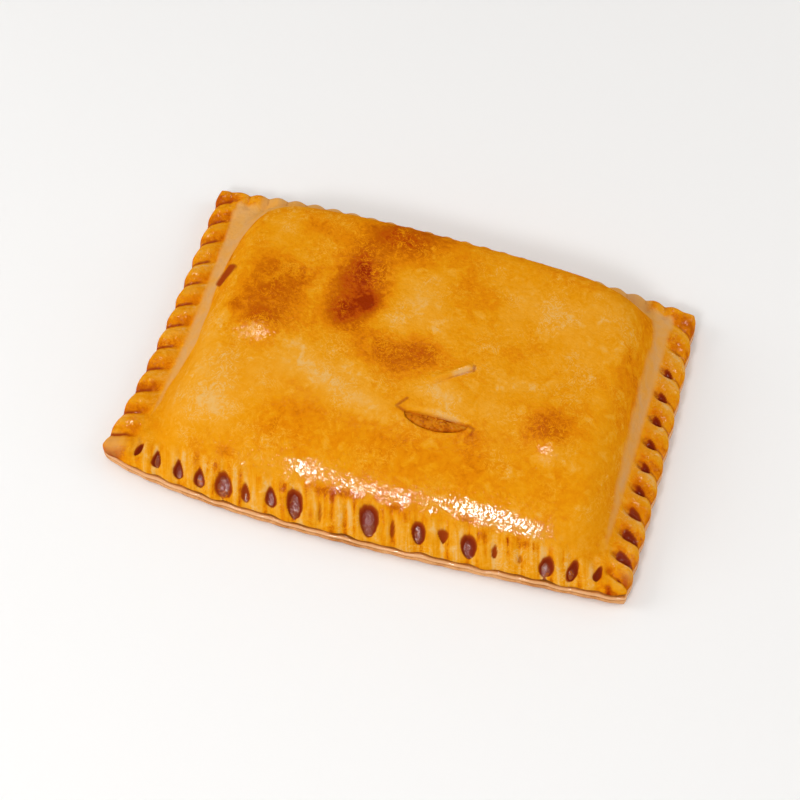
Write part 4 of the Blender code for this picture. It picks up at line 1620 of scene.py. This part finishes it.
class Shaper(Nodes):
    """A Geometry Nodes tree with named inputs, made to be run once on an object."""

    def __init__(self, name, kinds):
        super().__init__(bpy.data.node_groups.new(name, "GeometryNodeTree"))
        kinds = {"Geometry": "Geometry", **kinds, "Material": "Material"}
        for title, kind in kinds.items():
            self.tree.interface.new_socket(title, socket_type="NodeSocket" + kind)
        self.tree.interface.new_socket(
            "Geometry", in_out="OUTPUT", socket_type="NodeSocketGeometry"
        )
        self.group_input = self.tree.nodes.new("NodeGroupInput")

    def given(self, title):
        """What the tree is given under a title."""
        return Value(self, self.group_input.outputs[title])

    def relief(self, kind, detail, seed):
        """The height of lumps of a kind, from noise about 0 at each point's position."""
        position = self.value("GeometryNodeInputPosition")
        inputs = {"Vector": position, "Detail": detail, "W": seed}
        inputs["Scale"] = self.given(kind + " Scale")
        found = self.value("ShaderNodeTexNoise", inputs, noise_dimensions="4D")
        return (found - RELIEF_MIDDLE) * self.given(kind + " Height")

    def stored(self, title, kind):
        """A value stored on the points."""
        inputs = {"Name": title}
        return self.value("GeometryNodeInputNamedAttribute", inputs, "Attribute", data_type=kind)

    def scaled(self, vector, size):
        return self.value("ShaderNodeVectorMath", {0: vector, "Scale": size}, operation="SCALE")

    def balls(self, points, subdivisions, turn, scale):
        """A turned and scaled ball on each point, as a real mesh."""
        ball = {"Radius": 1.0, "Subdivisions": subdivisions}
        inputs = {"Points": points, "Rotation": turn, "Scale": scale}
        inputs["Instance"] = self.value("GeometryNodeMeshIcoSphere", ball)
        placed = self.value("GeometryNodeInstanceOnPoints", inputs)
        return self.value("GeometryNodeRealizeInstances", {0: placed})

    def finish(self, geometry, height):
        """Push the points out along their normals, and give the faces the material."""
        offset = self.scaled(self.value("GeometryNodeInputNormal"), height)
        inputs = {"Geometry": geometry, "Offset": offset}
        moved = self.value("GeometryNodeSetPosition", inputs)
        shaded = self.value("GeometryNodeSetShadeSmooth", {0: moved})
        inputs = {"Geometry": shaded, "Material": self.given("Material")}
        painted = self.value("GeometryNodeSetMaterial", inputs)
        self.put(self.tree.nodes.new("NodeGroupOutput").inputs[0], painted)

    def run(self, made, values):
        """Shape an object with the inputs set, and keep the result as its mesh."""
        modifier = made.modifiers.new(self.tree.name, "NODES")
        modifier.node_group = self.tree
        for item in self.tree.interface.items_tree:
            if item.in_out == "INPUT" and item.name in values:
                modifier[item.identifier] = values[item.name]
        depsgraph = bpy.context.evaluated_depsgraph_get()
        result = bpy.data.meshes.new_from_object(made.evaluated_get(depsgraph))
        made.modifiers.remove(modifier)
        before = made.data
        made.data = result
        result.name = made.name
        bpy.data.meshes.remove(before)
        bpy.data.node_groups.remove(self.tree)
        if not len(result.polygons):
            raise RuntimeError(f"{made.name} came out empty")


def relief_shaper():
    """Raises and sinks the skin along its normals, where the point value relief lets it."""
    titles = ("Swell Height", "Swell Scale", "Grain Height", "Grain Scale", "Seed")
    shaper = Shaper("skin_relief", dict.fromkeys(titles, "Float"))
    seed = shaper.given("Seed")
    height = shaper.relief("Swell", 2.0, seed) + shaper.relief("Grain", 3.0, seed)
    shaper.finish(shaper.given("Geometry"), height * shaper.stored("relief", "FLOAT"))
    return shaper


def scatter_shaper():
    """Strews lumps over the faces that it is given, each turned and sized at random."""
    titles = ("Density", "Smallest", "Largest", "Lump Height", "Lump Scale")
    kinds = {**dict.fromkeys(titles, "Float"), "Stretch": "Vector", "Seed": "Int"}
    shaper = Shaper("strewn_bits", kinds)
    seed = {"Seed": shaper.given("Seed")}
    inputs = {"Mesh": shaper.given("Geometry"), "Density": shaper.given("Density"), **seed}
    points = shaper.value("GeometryNodeDistributePointsOnFaces", inputs, "Points")
    inputs = {0: (-0.5, -0.5, 0.0), 1: (0.5, 0.5, math.tau), **seed}
    turn = shaper.value("FunctionNodeRandomValue", inputs, data_type="FLOAT_VECTOR")
    inputs = {2: shaper.given("Smallest"), 3: shaper.given("Largest"), **seed}
    size = shaper.value("FunctionNodeRandomValue", inputs, 1, data_type="FLOAT")
    bits = shaper.balls(points, 4, turn, shaper.scaled(shaper.given("Stretch"), size))
    shaper.finish(bits, shaper.relief("Lump", 2.0, 0.0))
    return shaper


def bead_shaper():
    """Sets a lumpy bead on each point, sized and turned by the point's own values."""
    titles = ("Lump Height", "Lump Scale", "Seed")
    shaper = Shaper("juice_beads", dict.fromkeys(titles, "Float"))
    points = shaper.value("GeometryNodeMeshToPoints", {"Mesh": shaper.given("Geometry")})
    size, turn = (shaper.stored(title, "FLOAT_VECTOR") for title in ("size", "turn"))
    beads = shaper.balls(points, 5, turn, size)
    shaper.finish(beads, shaper.relief("Lump", 2.0, shaper.given("Seed")))
    return shaper


# Settings that a user would change


def colour_property(name, description, *default):
    return FloatVectorProperty(
        name=name,
        description=description,
        default=(*default, 1.0),
        size=4,
        subtype="COLOR",
        min=0.0,
        max=1.0,
    )


def size_property(name, description, default):
    return FloatProperty(name=name, description=description, default=default * MM, unit="LENGTH")


def power_property(name, description, default):
    return FloatProperty(name=name, description=description, default=default, unit="POWER")


class EmpanadaColours(bpy.types.PropertyGroup):
    cream: colour_property("Cream", "Palest glaze, with hardly any egg wash", 0.80, 0.45, 0.13)
    yellow: colour_property("Yellow", "Light yellow glaze", 0.83, 0.36, 0.025)
    golden: colour_property("Golden", "The glaze's main colour", 0.80, 0.305, 0.004)
    orange: colour_property("Orange", "Well-baked glaze", 0.74, 0.222, 0.002)
    brown: colour_property("Brown", "Browned glaze", 0.52, 0.115, 0.001)
    ember: colour_property("Ember", "Red-brown glaze, nearly burnt", 0.50, 0.078, 0.002)
    burnt: colour_property("Burnt", "The darkest patches of the lid", 0.31, 0.028, 0.001)
    bare: colour_property("Bare dough", "Dough without egg wash", 0.70, 0.39, 0.15)
    # Also painted as shade into the grooves' creases, the fine creases round the vent and the
    # score.
    rust_and_crease_shade: colour_property("Rust", "Red-brown edge of a burnt spot", 0.36, 0.055, 0.005)
    juice: colour_property("Burnt juice", "Dried juice in the pits", 0.23, 0.024, 0.005)
    juice_pale: colour_property("Pale juice", "Dried juice where thin", 0.27, 0.06, 0.018)
    # Browned dough, and also painted shade: it darkens the rim's edge where it rolls under to the
    # seam, and the slit's walls.
    shade: colour_property("Seam shade", "Browned dough in the seam", 0.34, 0.11, 0.014)
    moist: colour_property("Moist lip", "Pale glossy lip under the seam", 0.80, 0.43, 0.20)
    tan: colour_property("Tan dough", "Side of the lower sheet", 0.74, 0.36, 0.13)
    toasted: colour_property("Toasted dough", "Browned lower sheet", 0.55, 0.20, 0.04)
    meat: colour_property("Meat", "Minced meat", 0.38, 0.075, 0.002)
    fat: colour_property("Cooking fat", "Orange fat between the meat", 0.62, 0.17, 0.002)
    onion: colour_property("Onion", "Bits of soft onion", 0.66, 0.25, 0.012)


class EmpanadaCrust(bpy.types.PropertyGroup):
    thickness: size_property("Thickness", "Thickness of the upper sheet", 2.7)
    swell: size_property("Swell", "Height of the skin's soft undulation", 0.35)
    grain: size_property("Grain", "Height of the skin's fine unevenness", 0.12)


class EmpanadaFilling(bpy.types.PropertyGroup):
    level: size_property("Level", "How far the filling stays below the crust's face", 0.4)
    crumb: size_property("Crumb size", "Radius of the largest crumb of meat", 0.95)
    onion: size_property("Onion size", "Radius of the largest bit of onion", 0.9)
    seed: IntProperty(name="Seed", description="Seed of the random places", default=4)


class EmpanadaStage(bpy.types.PropertyGroup):
    floor: colour_property("Floor", "Colour of the floor", 0.93, 0.925, 0.92)
    key: power_property("Key light", "Power of the soft key light", 2.6)
    fill: power_property("Fill light", "Power of the light from the left", 2.1)
    right: power_property("Right light", "Power of the light from the right", 1.6)
    shine: power_property("Shine", "Power of the front shoulder's glints", 10.0)
    top: power_property("Top shine", "Power of the blisters' glints", 8.0)
    back: power_property("Back shine", "Power of the rims' soft sheen", 6.0)
    ambient: FloatProperty(
        name="Ambient", description="Strength of the even light", default=0.575, min=0.0
    )


class EmpanadaSettings(bpy.types.PropertyGroup):
    colours: PointerProperty(type=EmpanadaColours)
    crust: PointerProperty(type=EmpanadaCrust)
    filling: PointerProperty(type=EmpanadaFilling)
    stage: PointerProperty(type=EmpanadaStage)


def settings():
    return bpy.context.scene.empanada


def place_piece(made, slot, *nodes):
    """Make a finished piece ride with the parcel, for the nodes that it stands for."""
    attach(made, "root")
    if nodes:
        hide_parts(*nodes)


# Operators


class EMPANADA_OT_lid(bpy.types.Operator):
    """Build the glazed upper sheet, with its crimped rim and its vent"""

    bl_idname = "empanada.lid"
    bl_label = "Glazed Lid"

    def execute(self, context):
        crust = settings().crust
        skin = lid_skin(crust.thickness / MM)
        x, y = skin.all_places()
        inside = np.concatenate(skin.inside)
        values = {
            "bake": bake_and_shade_level(x, y),
            "stretch": stretch_mask(x, y),
            "dark": dark_mask(x, y) * (1.0 - inside),
            "inside": inside,
            "gloss": gloss_share(x, y),
            "wall": front_wall(y + HALF_WIDTH) * before_corners(x),
            "relief": (1.0 - inside) * past(nearest_edge(x, y), RELIEF_START),
        }
        made = skin.make("glazed_crust", values)
        inputs = {
            "Swell Height": crust.swell,
            "Swell Scale": 130.0,
            "Grain Height": crust.grain,
            "Grain Scale": 520.0,
            "Seed": 3.0,
            "Material": glaze_material(settings().colours),
        }
        relief_shaper().run(made, inputs)
        place_piece(made, "glazed_crust", "top_crust")
        return {"FINISHED"}


class EMPANADA_OT_base(bpy.types.Operator):
    """Build the pale lower sheet, whose lip shows under the seam"""

    bl_idname = "empanada.base"
    bl_label = "Lower Sheet"

    def execute(self, context):
        skin = base_skin()
        made = skin.make("lower_sheet", {"tone": np.concatenate(skin.inside)})
        made.data.materials.append(bare_dough_material(settings().colours))
        place_piece(made, "pale_crust", "bottom_crust")
        return {"FINISHED"}


class EMPANADA_OT_filling(bpy.types.Operator):
    """Build the mound of filling and the bits of meat and onion in the vent"""

    bl_idname = "empanada.filling"
    bl_label = "Meat Filling"

    def execute(self, context):
        sizes = settings().filling
        colours = settings().colours
        thickness = settings().crust.thickness / MM
        level = sizes.level / MM
        made = filling_skin(thickness, level).make("meat_filling_mound")
        made.data.materials.append(filling_material(colours))
        place_piece(made, "meat_filling", "filling")
        kinds = (
            ("meat_crumbs", sizes.crumb, (1.1, 0.8, 0.3), 220000.0, 0, colours.meat),
            ("onion_bits", sizes.onion, (1.2, 0.6, 0.25), 90000.0, 7, colours.onion),
        )
        for name, size, stretch, density, seed, colour in kinds:
            bits = self.opening(name, thickness, level)
            inputs = {
                "Density": density,
                "Smallest": size * SMALLEST_BIT,
                "Largest": size,
                "Stretch": stretch,
                "Lump Height": size * BIT_LUMPS,
                "Lump Scale": 900.0,
                "Seed": sizes.seed + seed,
                "Material": bit_material(name, colour, colours.fat),
            }
            scatter_shaper().run(bits, inputs)
            place_piece(bits, "meat_filling")
        return {"FINISHED"}

    def opening(self, name, thickness, level):
        """The part of the filling's face that shows in the vent, to strew bits on."""
        columns = np.arange(SLIT_LEFT[0], SLIT_RIGHT[0], VENT_STEP)
        rows = np.arange(SLIT_ROW - VENT_REACH[0], SLIT_ROW + 3.0, VENT_STEP)
        skin = Skin()
        filling_grid(skin, columns, rows, thickness, level)
        deep = eye_distance(*skin.all_places()) > STREWN_INSET
        skin.faces = [face for face in skin.faces if all(deep[corner] for corner in face)]
        return skin.make(name)


class EMPANADA_OT_juice(bpy.types.Operator):
    """Set beads of burnt juice in the pits along the front"""

    bl_idname = "empanada.juice"
    bl_label = "Burnt Juice"

    def execute(self, context):
        pits = np.array(FRONT_PITS).T
        place = mark_place("front", np.arange(len(FRONT_PITS))) + pits[0]
        filled = pits[6] > 0.0
        x = place[filled]
        _, width, outer, inner, _, darkness, fill, _, slant = pits[:, filled]
        y = (outer + inner) / 2 - HALF_WIDTH
        inwards = slope(x, y, BEAD_STEP * slant, BEAD_STEP)
        length = np.linalg.norm(inwards, axis=1) / (2 * BEAD_STEP)
        inwards = unit(inwards)
        up = unit(np.cross(slope(x, y, BEAD_STEP, 0.0), inwards))
        frames = np.stack([np.cross(inwards, up), inwards, up], axis=-1)
        turns = [Matrix(turned.tolist()).to_euler() for turned in frames]
        height = np.maximum(fill, BEAD_LEAST)
        sizes = np.stack([width, (inner - outer) / 2 * length, height], axis=1)
        mesh = bpy.data.meshes.new("burnt_juice_beads")
        points = upper_surface(x, y) - up * BEAD_SINK
        mesh.from_pydata(((points - CENTRE) * MM).tolist(), [], [])
        for title, kind, field, data in (
            ("size", "FLOAT_VECTOR", "vector", sizes * MM),
            ("turn", "FLOAT_VECTOR", "vector", turns),
            ("brown", "FLOAT", "value", 1.0 - darkness),
        ):
            layer = mesh.attributes.new(title, kind, "POINT")
            layer.data.foreach_set(field, np.array(data, np.float32).ravel())
        made = new_object("burnt_juice_beads", mesh)
        inputs = {
            "Lump Height": 0.4 * MM,
            "Lump Scale": 300.0,
            "Seed": 2.0,
            "Material": juice_material(settings().colours),
        }
        bead_shaper().run(made, inputs)
        place_piece(made, "glazed_crust")
        return {"FINISHED"}


class EMPANADA_OT_stage(bpy.types.Operator):
    """Build the floor, the lights, the even surrounding light and the camera"""

    bl_idname = "empanada.stage"
    bl_label = "Stage"

    def execute(self, context):
        stage = settings().stage
        self.floor(stage)
        for name, (place, size, only_shine) in LIGHTS.items():
            light = bpy.data.lights.new(name + "_light", "AREA")
            light.shape = "DISK"
            light.size = size
            light.energy = getattr(stage, name)
            made = new_object(light.name, light)
            made.location = place
            made.rotation_euler = Vector(place).to_track_quat("Z", "Y").to_euler()
            made.visible_diffuse = not only_shine
        world = bpy.data.worlds.new("pale_room")
        world.use_nodes = True
        background = world.node_tree.nodes["Background"]
        background.inputs["Color"].default_value = ROOM_COLOUR
        background.inputs["Strength"].default_value = stage.ambient
        context.scene.world = world
        context.scene.view_settings.view_transform = "Standard"
        self.camera(context)
        return {"FINISHED"}

    def floor(self, stage):
        mesh = bpy.data.meshes.new("floor")
        sides = ((-1, -1), (1, -1), (1, 1), (-1, 1))
        corners = [(FLOOR_HALF * x, FLOOR_HALF * y, -FLOOR_DROP) for x, y in sides]
        mesh.from_pydata(corners, [], [(0, 1, 2, 3)])
        floor = Surface("pale_floor", 0.7, specular=0.2)
        floor.shade("Base Color", stage.floor)
        mesh.materials.append(floor.material)
        made = new_object("floor", mesh)

    def camera(self, context):
        data = bpy.data.cameras.new("camera")
        data.sensor_width = SENSOR
        data.lens = LENS
        data.clip_start = 0.01
        azimuth, elevation = math.radians(AZIMUTH), math.radians(ELEVATION)
        level = math.cos(elevation)
        back = Vector((math.sin(azimuth) * level, -math.cos(azimuth) * level, math.sin(elevation)))
        made = new_object("camera", data)
        made.location = Vector(LOOK_AT) + back * CAMERA_DISTANCE
        made.rotation_euler = back.to_track_quat("Z", "Y").to_euler()
        context.scene.camera = made


class EMPANADA_PT_panel(bpy.types.Panel):
    """Lists the parcel's pieces, their sizes and their colours"""

    bl_idname = "EMPANADA_PT_panel"
    bl_label = "Meat Empanada"
    bl_space_type = "VIEW_3D"
    bl_region_type = "UI"
    bl_category = "Empanada"

    def draw(self, context):
        layout = self.layout
        for operator in BUILDERS:
            layout.operator(operator.bl_idname)
        for group in ("crust", "filling", "stage", "colours"):
            box = layout.box()
            box.label(text=group.capitalize())
            values = getattr(context.scene.empanada, group)
            for name in values.__annotations__:
                box.prop(values, name)


BUILDERS = (
    EMPANADA_OT_lid,
    EMPANADA_OT_base,
    EMPANADA_OT_filling,
    EMPANADA_OT_juice,
    EMPANADA_OT_stage,
)
CLASSES = (
    EmpanadaColours,
    EmpanadaCrust,
    EmpanadaFilling,
    EmpanadaStage,
    EmpanadaSettings,
    *BUILDERS,
    EMPANADA_PT_panel,
)


def register():
    for made in CLASSES:
        bpy.utils.register_class(made)
    bpy.types.Scene.empanada = PointerProperty(type=EmpanadaSettings)


def unregister():
    del bpy.types.Scene.empanada
    for made in reversed(CLASSES):
        bpy.utils.unregister_class(made)


def main():
    register()
    bpy.ops.empanada.lid()
    bpy.ops.empanada.base()
    bpy.ops.empanada.filling()
    bpy.ops.empanada.juice()
    bpy.ops.empanada.stage()
    bpy.context.view_layer.update()


if __name__ == "__main__":
    main()
